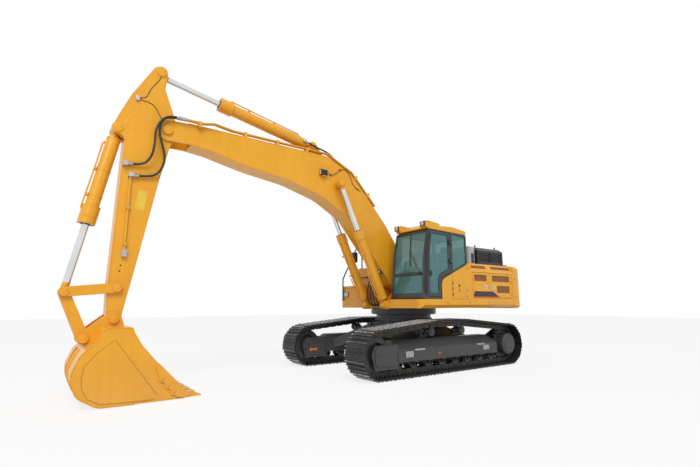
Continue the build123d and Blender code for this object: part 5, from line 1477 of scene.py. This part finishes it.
def framed(shape, points, out, wide, deep):
    # strip round a closed run of points: wide across the run, deep along out
    points = [Vector(p) for p in points]
    out = Vector(out)
    rings = []
    for k, point in enumerate(points):
        ahead = (points[(k + 1) % len(points)] - points[k - 1]).normalized()
        across = ahead.cross(out).normalized()
        rings.append([point + across * a * wide / 2 + out * b * deep / 2
                      for a, b in ((-1, -0.6), (-0.6, -1), (0.6, -1), (1, -0.6), (1, 0.6), (0.6, 1),
                                   (-0.6, 1), (-1, 0.6))])
    return shape.rings(rings, closed=True)


def makeSeals():
    seals, doorSeal = Shape(), Shape()
    left, right, rear = cab["left"], cab["right"], cab["rear"]
    low, high = right + cab["wall"] + 0.004, left - cab["wall"] - 0.004
    for z0, z1 in cab["panes"]:
        z0, z1 = z0 + 0.006, z1 - 0.006
        heights = [z0 + (z1 - z0) * k / 12 for k in range(13)]
        run = [(cabFront(z, 0.01), high, z) for z in heights]
        run += [(cabFront(z, 0.01), low, z) for z in heights[::-1]]
        framed(seals, run, Vector((1.0, 0.0, 0.08)).normalized(), 0.026, 0.014)
    for rows, y, side in ((quarterRows(), left - 0.008, 1), (rightRows(), right + 0.008, -1)):
        framed(seals, [(x, y, z) for x, z in outlineOf(rows, 6)], (0, side, 0), 0.026, 0.014)
    z0, z1 = cab["rearWindow"]
    framed(seals, [(rear + 0.008, y, z) for y, z in ((low, z0), (low, z1), (high, z1), (high, z0))],
           (-1, 0, 0), 0.026, 0.014)
    framed(doorSeal, [(x, left - 0.008, z) for x, z in outlineOf(doorRows(cab["doorFrame"]), 6)], (0, 1, 0),
           0.028, 0.014)
    framed(doorSeal, [(x, left + 0.0005, z) for x, z in outlineOf(doorRows(0.004), 6)], (0, 1, 0), 0.007,
           0.003)
    seals.piece("windowSeals", "rubber", "house", "hose_rubber")
    doorSeal.piece("doorSeals", "rubber", "cab_door", "hose_rubber")


wiper = {"pivot": (1.36, 2.072), "tip": (1.02, 2.62), "bladeBase": 2.25, "bladePitch": 0.06, "bladeLean": 0.1}


def makeCabOutside():
    trim, black, glassy, steel = Shape(), Shape(), Shape(), Shape()
    heights = [1.62 + k * 0.085 for k in range(17)]
    y = cab["left"]
    trim.rings([[(cabFront(z) - 0.088, y - 0.001, z), (cabFront(z) - 0.03, y - 0.001, z),
                 (cabFront(z) - 0.034, y + 0.007, z), (cabFront(z) - 0.084, y + 0.007, z)] for z in heights])
    rail = [(cabFront(z) - 0.058, y + 0.048, z) for z in heights[1:-1]]
    black.tube([(rail[0][0], y - 0.002, rail[0][2] - 0.03)] + rail
               + [(rail[-1][0], y - 0.002, rail[-1][2] + 0.03)], 0.0125, 12)
    for z in (heights[1] - 0.03, heights[-2] + 0.03):
        black.turned([(-0.001, 0.026), (0.005, 0.026), (0.007, 0.02), (0.007, 0.012)],
                     (cabFront(z) - 0.058, y + 0.004, z), (0, 1, 0), 20)
    (pivotY, pivotZ), (tipY, tipZ) = wiper["pivot"], wiper["tip"]
    pivot = Vector((cabFront(pivotZ) + 0.006, pivotY, pivotZ))
    tip = Vector((cabFront(tipZ) + 0.016, tipY, tipZ))
    black.turned([(-0.02, 0.022), (0.012, 0.022), (0.018, 0.016)], pivot, (1, 0, 0.1), 24)
    black.tube([pivot + Vector((0.008, 0, 0)), pivot.lerp(tip, 0.5) + Vector((0.01, 0, 0)), tip], 0.007, 8)
    blade = [(cabFront(z) + 0.001, tipY + (tipZ - z) * wiper["bladeLean"], z)
             for z in [wiper["bladeBase"] + wiper["bladePitch"] * k for k in range(13)]]
    black.rings([[(x - 0.01, y0 - 0.004, z), (x + 0.012, y0 - 0.006, z), (x + 0.012, y0 + 0.006, z),
                  (x - 0.01, y0 + 0.004, z)]
                 for x, y0, z in blade])
    trim.box((cabFront(pivotZ) - 0.006, 1.28, 2.058), (cabFront(pivotZ) + 0.004, 1.44, 2.088))
    for z in (1.575, 1.6):
        trim.box((cabFront(z) - 0.01, 0.56, z - 0.004), (cabFront(z) + 0.004, 1.41, z + 0.004))
    for yLamp in (cab["right"] + 0.09, cab["left"] - 0.09):
        x0, x1, z0, z1 = cab["brow"] + 0.071, cab["brow"] + 0.0755, cab["top"] + 0.055, cab["top"] + 0.158
        black.rings([[(x + 0.002, yLamp - 0.074, z), (x + 0.01, yLamp - 0.07, z + dz),
                      (x + 0.01, yLamp + 0.07, z + dz), (x + 0.002, yLamp + 0.074, z)]
                      for x, z, dz in ((x0, z0, 0.004), (x1, z1, -0.004))])
        middle = Vector(((x0 + x1) / 2 + 0.009, yLamp, (z0 + z1) / 2))
        steel.turned([(0.0, 0.046), (0.006, 0.046), (0.006, 0.04), (0.001, 0.014), (0.001, 0.002)], middle,
                     (1, 0, -0.05), 32)
        glassy.turned([(0.0045, 0.04), (0.008, 0.034), (0.01, 0.018), (0.0105, 0.002)], middle, (1, 0, -0.05),
                      32)
    hatch = rounded((-0.42, 0.7), (0.22, 1.27), 0.05, 5)

    def roofHeight(x):
        peak, rear, brow = (-0.165, 3.165), (-0.655, 3.105), (0.61, 3.12)
        (x0, z0), (x1, z1) = (rear, peak) if x < peak[0] else (peak, brow)
        return z0 + (z1 - z0) * (x - x0) / (x1 - x0)
    framed(trim, [(x, yy, roofHeight(x) - 0.002) for x, yy in hatch], (0, 0, 1), 0.04, 0.024)
    trim.rings([[(x, 0.72, roofHeight(x) - 0.012), (x, 1.25, roofHeight(x) - 0.012),
                 (x, 1.25, roofHeight(x) + 0.004), (x, 0.72, roofHeight(x) + 0.004)]
                for x in (-0.4, -0.25, -0.165, -0.05, 0.1, 0.2)])
    black.turned([(-0.004, 0.024), (0.012, 0.022), (0.02, 0.01), (0.06, 0.006), (0.2, 0.003), (0.202, 0.001)],
                 (-0.56, 0.98, 3.108), (0, 0, 1), 16)
    steel.tube([(0.56, 0.7, 3.128), (0.56, 0.72, 3.15), (0.56, 1.25, 3.15), (0.56, 1.27, 3.128)], 0.01, 10)
    trim.piece("cabTrim", "gloss", "house", "black_paint", 0.001)
    black.piece("cabFittings", "black", "house", "black_paint")
    glassy.piece("roofLampGlass", "lens", "house", "lamp")
    steel.piece("roofLampBowls", "chrome", "house", "pipe_steel")
    handle, grip = Shape(), Shape()
    handle.plate(outlineOf([(0.52, 2.03, 0.012), (0.604, 2.03, 0.012), (0.6, 2.13, 0.012),
                            (0.52, 2.13, 0.012)], 4), y - 0.001, y + 0.006)
    grip.plate(rounded((0.53, 2.066), (0.596, 2.098), 0.01), y + 0.004, y + 0.022)
    handle.turned([(0.0, 0.01), (0.004, 0.01), (0.005, 0.006), (0.005, 0.001)], (0.562, y + 0.005, 2.046),
                  (0, 1, 0), 20)
    handle.piece("doorHandlePlate", "gloss", "cab_door", "black_paint", 0.001)
    grip.piece("doorHandle", "black", "cab_door", "black_paint", 0.003)
    inner = Shape()
    inner.tube([(0.585, y - 0.046, 1.7), (0.58, y - 0.085, 1.73), (0.578, y - 0.085, 2.3),
                (0.575, y - 0.046, 2.33)], 0.012, 10)
    inner.piece("doorGrab", "black", "cab_door", "black_paint")


mirror = {"place": (0.43, -1.46, 2.69), "turn": 20, "half": (0.092, 0.132), "inset": 0.01}


def makeMirrorGlass():
    turn = Matrix.Rotation(radians(mirror["turn"]), 4, "Z")
    middle = Vector(mirror["place"])
    wide, high = mirror["half"]
    rim, glass = Shape(), Shape()
    corners = rounded((-wide, -high), (wide, high), 0.03, 5)
    framed(rim, [middle + turn @ Vector((-0.016, a, b)) for a, b in corners],
           turn.to_3x3() @ Vector((-1, 0, 0)), 0.022, 0.018)
    wide, high = wide - mirror["inset"], high - mirror["inset"]
    inset = rounded((-wide, -high), (wide, high), 0.025, 5)
    glass.rings([[middle + turn @ Vector((depth, a, b)) for a, b in inset] for depth in (-0.0165, -0.0195)])
    rim.piece("mirrorRim", "black", "house", "black_paint")
    glass.piece("mirrorGlass", "chrome", "house", "lamp")


def cushionData(name, size, crown, pull):
    # closed pad round its own middle, crowned on its upper side, with sides that pull in between the corners
    hx, hy, hz = (s / 2 for s in size)
    shape = Shape()
    bmesh.ops.create_cube(shape.mesh, size=2.0)
    bmesh.ops.subdivide_edges(shape.mesh, edges=shape.mesh.edges, cuts=13, use_grid_fill=True)
    for vertex in shape.mesh.verts:
        u, v, w = vertex.co
        soft = 1.0 - 0.1 * abs(w) ** 4
        x = hx * u * (1.0 - pull * (1.0 - v * v)) * soft
        y = hy * v * (1.0 - pull * (1.0 - u * u)) * soft
        z = hz * w * (1.0 - 0.45 * max(abs(u), abs(v)) ** 8)
        if w > 0:
            z += crown * w * (1.0 - u * u) * (1.0 - v * v)
        vertex.co = (x, y, z)
    for _ in range(3):
        bmesh.ops.smooth_vert(shape.mesh, verts=shape.mesh.verts, factor=0.5, use_axis_x=True,
                              use_axis_y=True, use_axis_z=True)
    return shape.data(name, "fabric", 60.0)


stuffing = {"voxel": 0.01, "pressure": 4.0, "frames": 20, "cap": 0.024}


def stuffed(data):
    # the pad swelled as cloth round its filling, each point moved by at most the cap
    source = addObject(data.name + "Source", data)
    remesh = source.modifiers.new("remesh", "REMESH")
    remesh.mode = "VOXEL"
    remesh.voxel_size = stuffing["voxel"]
    bpy.context.view_layer.update()
    even = bpy.data.meshes.new_from_object(source.evaluated_get(bpy.context.evaluated_depsgraph_get()))
    bpy.data.objects.remove(source)
    start = [vertex.co.copy() for vertex in even.vertices]
    holder = addObject(data.name + "Cloth", even)
    cloth = holder.modifiers.new("stuffing", "CLOTH")
    cloth.settings.quality = 4
    cloth.settings.use_pressure = True
    cloth.settings.uniform_pressure_force = stuffing["pressure"]
    cloth.settings.effector_weights.gravity = 0.0
    cloth.point_cache.frame_end = stuffing["frames"]
    scene = bpy.context.scene
    for frame in range(1, stuffing["frames"] + 1):
        scene.frame_set(frame)
    swelled = bpy.data.meshes.new_from_object(holder.evaluated_get(bpy.context.evaluated_depsgraph_get()))
    scene.frame_set(1)
    for vertex, was in zip(swelled.vertices, start):
        step = vertex.co - was
        if step.length > stuffing["cap"]:
            vertex.co = was + step.normalized() * stuffing["cap"]
    bpy.data.objects.remove(holder)
    return swelled


def seamed(mesh, size, seams, depth=0.01, wide=0.01):
    # sewn channels: rows of axis and place
    half = size[2] / 2
    for vertex in mesh.vertices:
        if vertex.co.z < half * 0.2:
            continue
        for axis, place in seams:
            away = abs(vertex.co[axis] - place)
            if away < wide * 2:
                vertex.co.z -= depth * math.exp(-(away / wide) ** 2 * 1.5)


seatPads = [
    # name, size, crown, place, lean in degrees, sewn channels
    ("seatCushion", (0.47, 0.47, 0.105), 0.02, (-0.17, 0.985, 1.922), 0.0,
     [(1, -0.125), (1, 0.125), (0, -0.06)]),
    ("seatBack", (0.56, 0.44, 0.095), 0.018, (-0.4, 0.985, 2.29), -100.0,
     [(1, -0.12), (1, 0.12), (0, -0.08), (0, 0.12)]),
    ("headRest", (0.15, 0.27, 0.075), 0.012, (-0.478, 0.985, 2.7), -100.0, [(1, -0.08), (1, 0.08)]),
]


def makeSeat():
    for name, size, crown, place, lean, seams in seatPads:
        data = cushionData(name, size, crown, 0.035)
        data = stuffed(data)
        seamed(data, size, seams)
        data.transform(Matrix.Translation(place) @ Matrix.Rotation(radians(lean), 4, "Y"))
        data.materials.clear()
        data.materials.append(finishes["fabric"])
        data.shade_smooth()
        pad = addObject(name, data)
        fine = pad.modifiers.new("fine", "SUBSURF")
        fine.levels = fine.render_levels = 1
        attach(pad, "house")
        if name == "seatCushion":
            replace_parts(pad, "seat")
    base, black, arms = Shape(), Shape(), Shape()
    base.box((-0.4, 0.77, 1.576), (0.06, 1.2, 1.6))
    for k in range(7):
        z = 1.602 + k * 0.03
        grow = 0.0 if k % 2 else 0.018
        base.rings([[(x * (0.2 + grow) - 0.17, y * (0.185 + grow) + 0.985, zz)
                     for x, y in ((-1, -1), (1, -1), (1, 1), (-1, 1))]
                    for zz in (z, z + 0.028)])
    base.box((-0.41, 0.76, 1.815), (0.07, 1.21, 1.858))
    lean = radians(-10)
    turn = Matrix.Translation((-0.462, 0.985, 2.29)) @ Matrix.Rotation(lean, 4, "Y")
    for low, high in (((-0.018, -0.215, -0.3), (0.012, 0.215, 0.3)),
                      ((-0.006, -0.06, 0.29), (0.008, -0.045, 0.4)),
                      ((-0.006, 0.045, 0.29), (0.008, 0.06, 0.4))):
        black.placedBox(turn, low, high)
    for y in (0.69, 1.28):
        arms.plate(outlineOf([(-0.42, 2.125, 0.02), (-0.08, 2.125, 0.03), (-0.08, 2.175, 0.02),
                              (-0.42, 2.18, 0.02)], 4), y - 0.032, y + 0.032)
    black.piece("seatShell", "black", "house", "black_paint", 0.006)
    base.piece("seatBase", "black", "house", "black_paint", 0.003)
    arms.piece("armRests", "rubber", "house", "seat_fabric", 0.008)


monitor = {"place": (0.47, 0.62, 2.33), "turn": -28, "lean": -12}
consoles = [(0.64, -1), (1.33, 1)]      # y, side
pedalY = (0.9, 1.07)


def makeControls():
    pods, grips, screen, dials = Shape(), Shape(), Shape(), Shape()
    for y, side in consoles:
        inward = -side
        pods.plate(outlineOf([(-0.3, 1.576, 0.02), (0.12, 1.576, 0.03), (0.24, 1.86, 0.06),
                              (0.25, 2.06, 0.04), (0.16, 2.08, 0.03), (-0.3, 2.08, 0.03)], 5), y - 0.066,
                              y + 0.066)
        for k in range(4):
            z = 2.082 + k * 0.012
            grips.turned([(0.0, 0.046 - k * 0.007), (0.006, 0.05 - k * 0.007), (0.012, 0.044 - k * 0.007)],
                         (0.19, y, z), (0, 0, 1), 24)
        grips.tube(routePoints([(0.19, y, 2.12), (0.195, y, 2.18), (0.188, y + inward * 0.004, 2.23),
                                (0.18, y + inward * 0.01, 2.3)]), 0.015, 14)
        grips.turned([(-0.036, 0.01), (-0.03, 0.021), (0.02, 0.023), (0.04, 0.018), (0.048, 0.006)],
                     (0.18, y + inward * 0.01, 2.285), (-0.06, inward * 0.05, 1), 20)
        for k in range(5):
            dials.turned([(0.0, 0.013), (0.008, 0.012), (0.01, 0.008)], (-0.23 + k * 0.062, y, 2.0795),
                         (0, 0, 1), 16)
    for y in pedalY:
        grips.plate([(0.36, 1.59), (0.48, 1.66), (0.486, 1.65), (0.366, 1.58)], y - 0.05, y + 0.05)
        grips.tube([(0.43, y, 1.64), (0.44, y, 1.85), (0.4, y, 1.93)], 0.01, 10)
        grips.turned([(0.0, 0.01), (0.01, 0.02), (0.035, 0.02), (0.045, 0.008)], (0.402, y, 1.925),
                     (-0.4, 0, 1), 16)
    turn = Matrix.Rotation(radians(monitor["turn"]), 4, "Z") @ Matrix.Rotation(radians(monitor["lean"]), 4,
                                                                               "Y")
    mount = Matrix.Translation(monitor["place"]) @ turn
    pods.placedBox(mount, (0.0, -0.11, -0.085), (0.035, 0.11, 0.085))
    screen.placedBox(mount, (-0.003, -0.09, -0.055), (0.001, 0.09, 0.07))
    pods.tube([(0.5, 0.62, 2.25), (0.52, 0.57, 2.2), (0.52, 0.528, 2.18)], 0.014, 10)
    pods.box((-0.55, 0.528, 1.576), (0.4, 0.56, 2.15))
    pods.box((-0.6, 0.56, 1.576), (-0.52, 1.4, 2.26))
    for k in range(14):
        pods.box((-0.18 + k * 0.058, 0.62, 1.5745), (-0.15 + k * 0.058, 1.38, 1.58))
    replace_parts(pods.piece("consolePods", "black", "house", "black_paint", 0.004), "console")
    grips.piece("controlGrips", "rubber", "house", "black_paint")
    screen.piece("monitorScreen", "lens", "house", "lamp")
    dials.piece("consoleKnobs", "blankPlate", "house", "black_paint")


makeSeals()
makeCabOutside()
makeMirrorGlass()
makeSeat()
makeControls()
print("cab ready")


# boom and arm
boomRows = [
    (5.4, 4.296, 0.0), (5.0, 4.255, 0.4), (4.2, 4.085, 2.0), (3.3, 3.965, 1.5), (2.5, 3.74, 1.2),
    (1.83, 3.37, 0.4), (1.129, 2.54, 0.6), (0.56, 1.88, 0.06), (0.2, 1.79, 0.165), (0.04, 1.96, 0.14),
    (0.33, 2.75, 0.9), (0.713, 3.29, 0.9), (1.229, 3.86, 0.9), (1.75, 4.4, 0.5), (2.4, 4.69, 0.4),
    (5.4, 4.69, 0.0),
]
armRows = [
    (6.437, 1.215, 0.1), (6.452, 1.7, 0.0), (6.4, 4.205, 0.04), (6.48, 4.245, 0.0), (6.6, 4.335, 0.095),
    (6.52, 4.56, 0.06), (6.35, 4.99, 0.3), (6.02, 5.6, 0.1), (5.905, 5.665, 0.11), (5.795, 5.56, 0.1),
    (5.825, 5.235, 0.1), (5.645, 4.76, 0.1), (5.56, 4.47, 0.185), (5.69, 4.15, 0.4), (5.822, 3.513, 3.0),
    (6.105, 1.887, 2.0), (6.227, 1.215, 0.1), (6.332, 1.108, 0.1),
]
boomFit = {
    "half": 0.212, "bead": 0.0055, "beadIn": 0.014, "clampBends": [(1.25, 3.991), (1.6, 4.356)],
    "bendLean": -46.2, "clampY": 0.152, "clamps": [2.9, 3.6, 4.3], "clampTop": 4.793,
    "lampFace": [(2.589, 0.222, 4.226), (2.599, 0.292, 4.334)],
    "cable": [(2.442, 0.262, 4.3), (2.4, 0.25, 4.316), (2.313, 0.236, 4.265), (2.19, 0.232, 4.309),
              (2.065, 0.234, 4.428), (1.966, 0.23, 4.475), (1.87, 0.224, 4.45), (1.765, 0.221, 4.34),
              (1.7, 0.221, 4.14), (1.57, 0.22, 4.06), (1.47, 0.219, 4.03)],
    "cableLength": 1.24,
}
crowdHoses = {
    "route": [(2.02, 0.085, 4.548), (2.055, 0.086, 4.64), (2.15, 0.09, 4.735), (2.3, 0.115, 4.808),
              (2.47, 0.14, 4.84), (2.65, 0.141, 4.87), (2.8, 0.141, 4.918), (2.93, 0.14, 4.946)],
    "length": 1.04,
    "diameter": 0.036,
}
armFit = {
    "half": 0.17,
    "seam": [(6.36, 4.953), (6.373, 4.486), (6.398, 3.847), (6.416, 3.0), (6.43, 2.145)],
    "plate": [(5.964, 3.328), (6.121, 3.325), (6.165, 3.001), (6.018, 2.977)],
    "grease": [
        [(5.91, 5.48), (5.921, 5.393), (6.036, 5.221), (6.089, 5.096), (6.122, 4.978), (6.232, 4.955)],
        [(5.8, 4.6), (5.88, 4.7), (5.96, 4.86), (6.08, 4.925), (6.232, 4.925)],
    ],
    "manifold": [(6.225, 0.168, 4.895), (6.285, 0.198, 4.985)],
    "holeShades": [(6.292, 2.05), (6.302, 1.96)],
}


def makeBoomDetails():
    beads = Shape()
    line = insetOutline(outlineOf(boomRows, 8), boomFit["beadIn"])
    for side in (-1, 1):
        beads.tube([(x, side * boomFit["half"], z) for x, z in line], boomFit["bead"], 6)
        x, z = pins["liftRod"]
        ring = ringOf((x, side * boomFit["half"], z), (0, 1, 0), 0.114, 40)
        beads.tube(ring + ring[:2], 0.006, 6)
    for x, z in boomFit["clampBends"]:
        for side in (-1, 1):
            middle = Vector((x - 0.016, side * boomFit["clampY"], z - 0.017))
            reach = Vector((0.026, 0.047, 0.05))
            beads.box(middle - reach, middle + reach, Matrix.Rotation(radians(boomFit["bendLean"]), 4, "Y"))
    beads.box((2.47, 0.208, 4.196), (2.56, 0.285, 4.216))
    beads.piece("boomWelds", "yellow", "boom", "yellow_paint")
    bolts = [((x, side * boomFit["clampY"], boomFit["clampTop"]), (0, 0, 1), 0.011)
             for x in boomFit["clamps"] for side in (-1, 1)]
    lean = radians(-boomFit["bendLean"])
    for x, z in boomFit["clampBends"]:
        bolts += [((x - sin(lean) * 0.026, side * boomFit["clampY"], z + cos(lean) * 0.026),
                   (-sin(lean), 0, cos(lean)), 0.011) for side in (-1, 1)]
    bolts += [((5.21, 0.255, 4.74), (0, 0, 1), 0.011), ((2.515, 0.256, 4.196), (0, 0, -1), 0.01)]
    scatterBolts("boomBolts", bolts, "steel", "boom")
    low, high = boomFit["lampFace"]
    Shape().box(low, high).piece("boomLampGlass", "lens", "boom", "lamp", 0.004)
    bezel = Shape()
    for y in (low[1] - 0.006, high[1] - 0.002):
        bezel.box((low[0] - 0.002, y, low[2] - 0.006), (high[0] + 0.003, y + 0.008, high[2] + 0.006))
    for z in (low[2] - 0.006, high[2] - 0.002):
        bezel.box((low[0] - 0.002, low[1] - 0.006, z), (high[0] + 0.003, high[1] + 0.006, z + 0.008))
    bezel.piece("boomLampBezel", "gloss", "boom", "black_paint", 0.001)

    points = routePoints(boomFit["cable"])
    print("lamp cable", round(runLength(points), 3), "m")
    cable = Shape().tube(points, 0.006, 10).piece("boomLampCable", "rubber", "boom", "hose_rubber")
    clips = Shape()
    for x, y, z in (boomFit["cable"][2], boomFit["cable"][4], boomFit["cable"][9]):
        clips.box((x - 0.013, 0.209, z - 0.013), (x + 0.013, y + 0.009, z + 0.013))
    clips.piece("boomCableClips", "black", "boom", "black_paint", 0.002)


def makeCrowdHoses():
    boomEnds, barrelEnds = Shape(), Shape()
    for side, name in ((-1, "right"), (1, "left")):
        route = [(x, side * y, z) for x, y, z in crowdHoses["route"]]
        points = routePoints(route)
        hose = Shape().tube(points, crowdHoses["diameter"] / 2, 14).piece("crowdHose_" + name, "rubber", None,
                                                                          "hose_rubber")
        if side > 0:
            print("crowd hose", round(runLength(points), 3), "m")
        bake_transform(hose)
        boomEnds.turned([(-0.055, 0.026), (0.0, 0.026), (0.004, 0.022), (0.062, 0.022), (0.066, 0.0185)],
                        points[0], points[2] - points[0], 20)
        barrelEnds.turned([(-0.09, 0.0185), (-0.086, 0.023), (-0.02, 0.023), (-0.016, 0.028), (0.025, 0.028)],
                          points[-1], points[-1] - points[-3], 20)
        barrelEnds.rod((2.955, side * 0.095, 4.951), (2.955, side * 0.15, 4.951), 0.026, 20)
    boomEnds.piece("crowdFittingsBoom", "steel", "boom", "pipe_steel")
    barrelEnds.piece("crowdFittingsBarrel", "steel", "arm_barrel", "pipe_steel")


def makeArmDetails():
    beads, lines, holeShades, half = Shape(), Shape(), Shape(), armFit["half"]
    outline = insetOutline(outlineOf(armRows, 8), 0.014)
    for side in (-1, 1):
        beads.tube([(x, side * half, z) for x, z in outline + outline[:2]], 0.005, 6)
        beads.tube(routePoints([(x, side * half, z) for x, z in armFit["seam"]]), 0.004, 6)
        # dark discs on the side plates: painted shade standing for the holes' dark insides
        for x, z in armFit["holeShades"]:
            holeShades.turned([(0.0, 0.014), (0.0015, 0.0135)], (x, side * (half - 0.0005), z), (0, side, 0), 20)
    beads.piece("armWelds", "yellow", "arm", "yellow_paint")
    holeShades.piece("armHoles", "stripe", "arm", "black_paint")
    for route in armFit["grease"]:
        lines.tube(routePoints([(x, half + 0.006, z) for x, z in route]), 0.0055, 8)
    lines.piece("armGreaseLines", "black", "arm", "black_paint")
    block = Shape().box(*armFit["manifold"])
    block.piece("armGreaseBlock", "steel", "arm", "pipe_steel", 0.003)
    plate = Shape().plate(armFit["plate"], half - 0.001, half + 0.003)
    plate.piece("armPlate", "brightPlate", "arm", "yellow_paint", 0.001)
    bolts = [((x + dx, half + 0.003, z + dz), (0, 1, 0), 0.004)
             for (x, z), (dx, dz) in zip(armFit["plate"], ((0.014, -0.014), (-0.014, -0.014), (-0.014, 0.014),
                                                           (0.014, 0.014)))]
    bolts += [((6.262, 0.216, z), (0, 1, 0), 0.01) for z in (2.4, 3.0)]
    bolts += [((6.24, 0.23, 2.245), (0, 1, 0), 0.012), ((6.284, 0.23, 2.245), (0, 1, 0), 0.012)]
    scatterBolts("armBolts", bolts, "steel", "arm")


makeBoomDetails()
makeCrowdHoses()
makeArmDetails()
print("boom and arm ready")


# bucket
bucketRows = [
    (-0.2, -0.112, 0.04), (0.17, -0.112, 0.05), (0.235, -0.29, 0.1), (0.44, -0.48, 0.2), (0.552, -0.77, 0.26),
    (0.43, -1.04, 0.24), (0.17, -1.2, 0.26), (-0.3, -1.205, 0.9), (-0.99, -1.205, 0.0),
    (-0.952, -1.075, 0.02), (-0.586, -0.663, 0.04), (-0.343, -0.383, 0.15), (-0.231, -0.195, 0.06),
]
bucketFit = {
    # from the bucket's pivot
    "half": 0.79, "cutterFace": 0.816, "lobes": [(-0.645, -0.88), (-0.735, -0.985), (-0.825, -1.09)],
    "wearPlate": [(-0.585, -1.105), (0.02, -0.29), (0.235, -0.462), (0.375, -0.64), (0.395, -0.783),
                  (0.375, -0.93), (0.3, -1.06), (0.15, -1.15), (-0.3, -1.168), (-0.56, -1.168)],
    "ribs": (0.185, 0.235), "heels": [(0.6, 0.788), (0.3, 0.48)], "teeth": 5, "toothHalf": 0.052,
    "sidePlate": 0.103, "pin": (-1.04, -1.142), "shroud": [(-1.046, -1.2045), (-1.058, -1.19),
                                                           (-0.985, -1.15), (-0.905, -1.158),
                                                           (-0.905, -1.2045)],
    "strap": [(-0.99, -1.098), (-0.86, -1.118), (-0.78, -1.172), (-0.76, -1.182), (-0.98, -1.182)],
}


def fromPivot(points):
    x0, z0 = pins["bucketPivot"]
    return [(x0 + x, z0 + z) for x, z in points]


def backStrip(low, high, thick):
    # outline of a strip laid on the bucket's back between two values of z
    outer = outlineOf(bucketRows, 10)
    grown = insetOutline(outer, -thick)
    picks = [k for k, (x, z) in enumerate(outer) if x > -0.3 and low < z < high]
    return fromPivot([grown[k] for k in picks] + [outer[k] for k in reversed(picks)])


def makeBucket():
    worn, welds, bolts = Shape(), Shape(), []
    edge = fromPivot(insetOutline(outlineOf(bucketRows, 8), 0.012))
    for side in (-1, 1):
        face = side * bucketFit["half"]
        worn.plate(fromPivot(bucketFit["wearPlate"]), *span(side, -0.001, 0.006, face))
        welds.tube([(x, face, z) for x, z in edge + edge[:2]], 0.0055, 6)
        bolts += [((x, side * bucketFit["cutterFace"], z), (0, side, 0), 0.015)
                  for x, z in fromPivot(bucketFit["lobes"])]
        worn.plate(backStrip(-1.22, -0.42, 0.02), *span(side, *bucketFit["ribs"]))
        for heel in bucketFit["heels"]:
            worn.plate(backStrip(-1.22, -0.93, 0.009), *span(side, *heel))
    seam = Shape()
    for side in (-1, 1):
        seam.tube([(x, side * (bucketFit["half"] + 0.0055), z) for x, z in fromPivot(bucketFit["wearPlate"])],
                  0.003, 6)
    seam.piece("bucketSeams", "grille", "bucket", "yellow_paint")
    worn.piece("bucketWear", "bucketYellow", "bucket", "yellow_paint", 0.002)
    welds.piece("bucketWelds", "bucketYellow", "bucket", "yellow_paint")
    scatterBolts("bucketBolts", bolts, "bucketYellow", "bucket")
    reach = 2 * (bucketFit["half"] - bucketFit["sidePlate"])
    places = [-reach / 2 + k * reach / (bucketFit["teeth"] - 1) for k in range(bucketFit["teeth"])]
    lip, tooth = Shape(), Shape()
    x, z = fromPivot([bucketFit["pin"]])[0]
    for first, second in zip(places, places[1:]):
        lip.plate(fromPivot(bucketFit["shroud"]), first + 0.07, second - 0.07)
    for y in places:
        tooth.plate(fromPivot(bucketFit["strap"]), y - 0.04, y + 0.04)
        for side in (-1, 1):
            tooth.turned([(0.0, 0.019), (0.004, 0.019), (0.006, 0.016)],
                         (x, y + side * bucketFit["toothHalf"], z), (0, side, 0), 24)
    lip.piece("lipShrouds", "bucketYellow", "bucket", "yellow_paint", 0.004)
    tooth.piece("toothStraps", "bucketYellow", "bucket", "yellow_paint", 0.003)


makeBucket()
print("bucket ready")
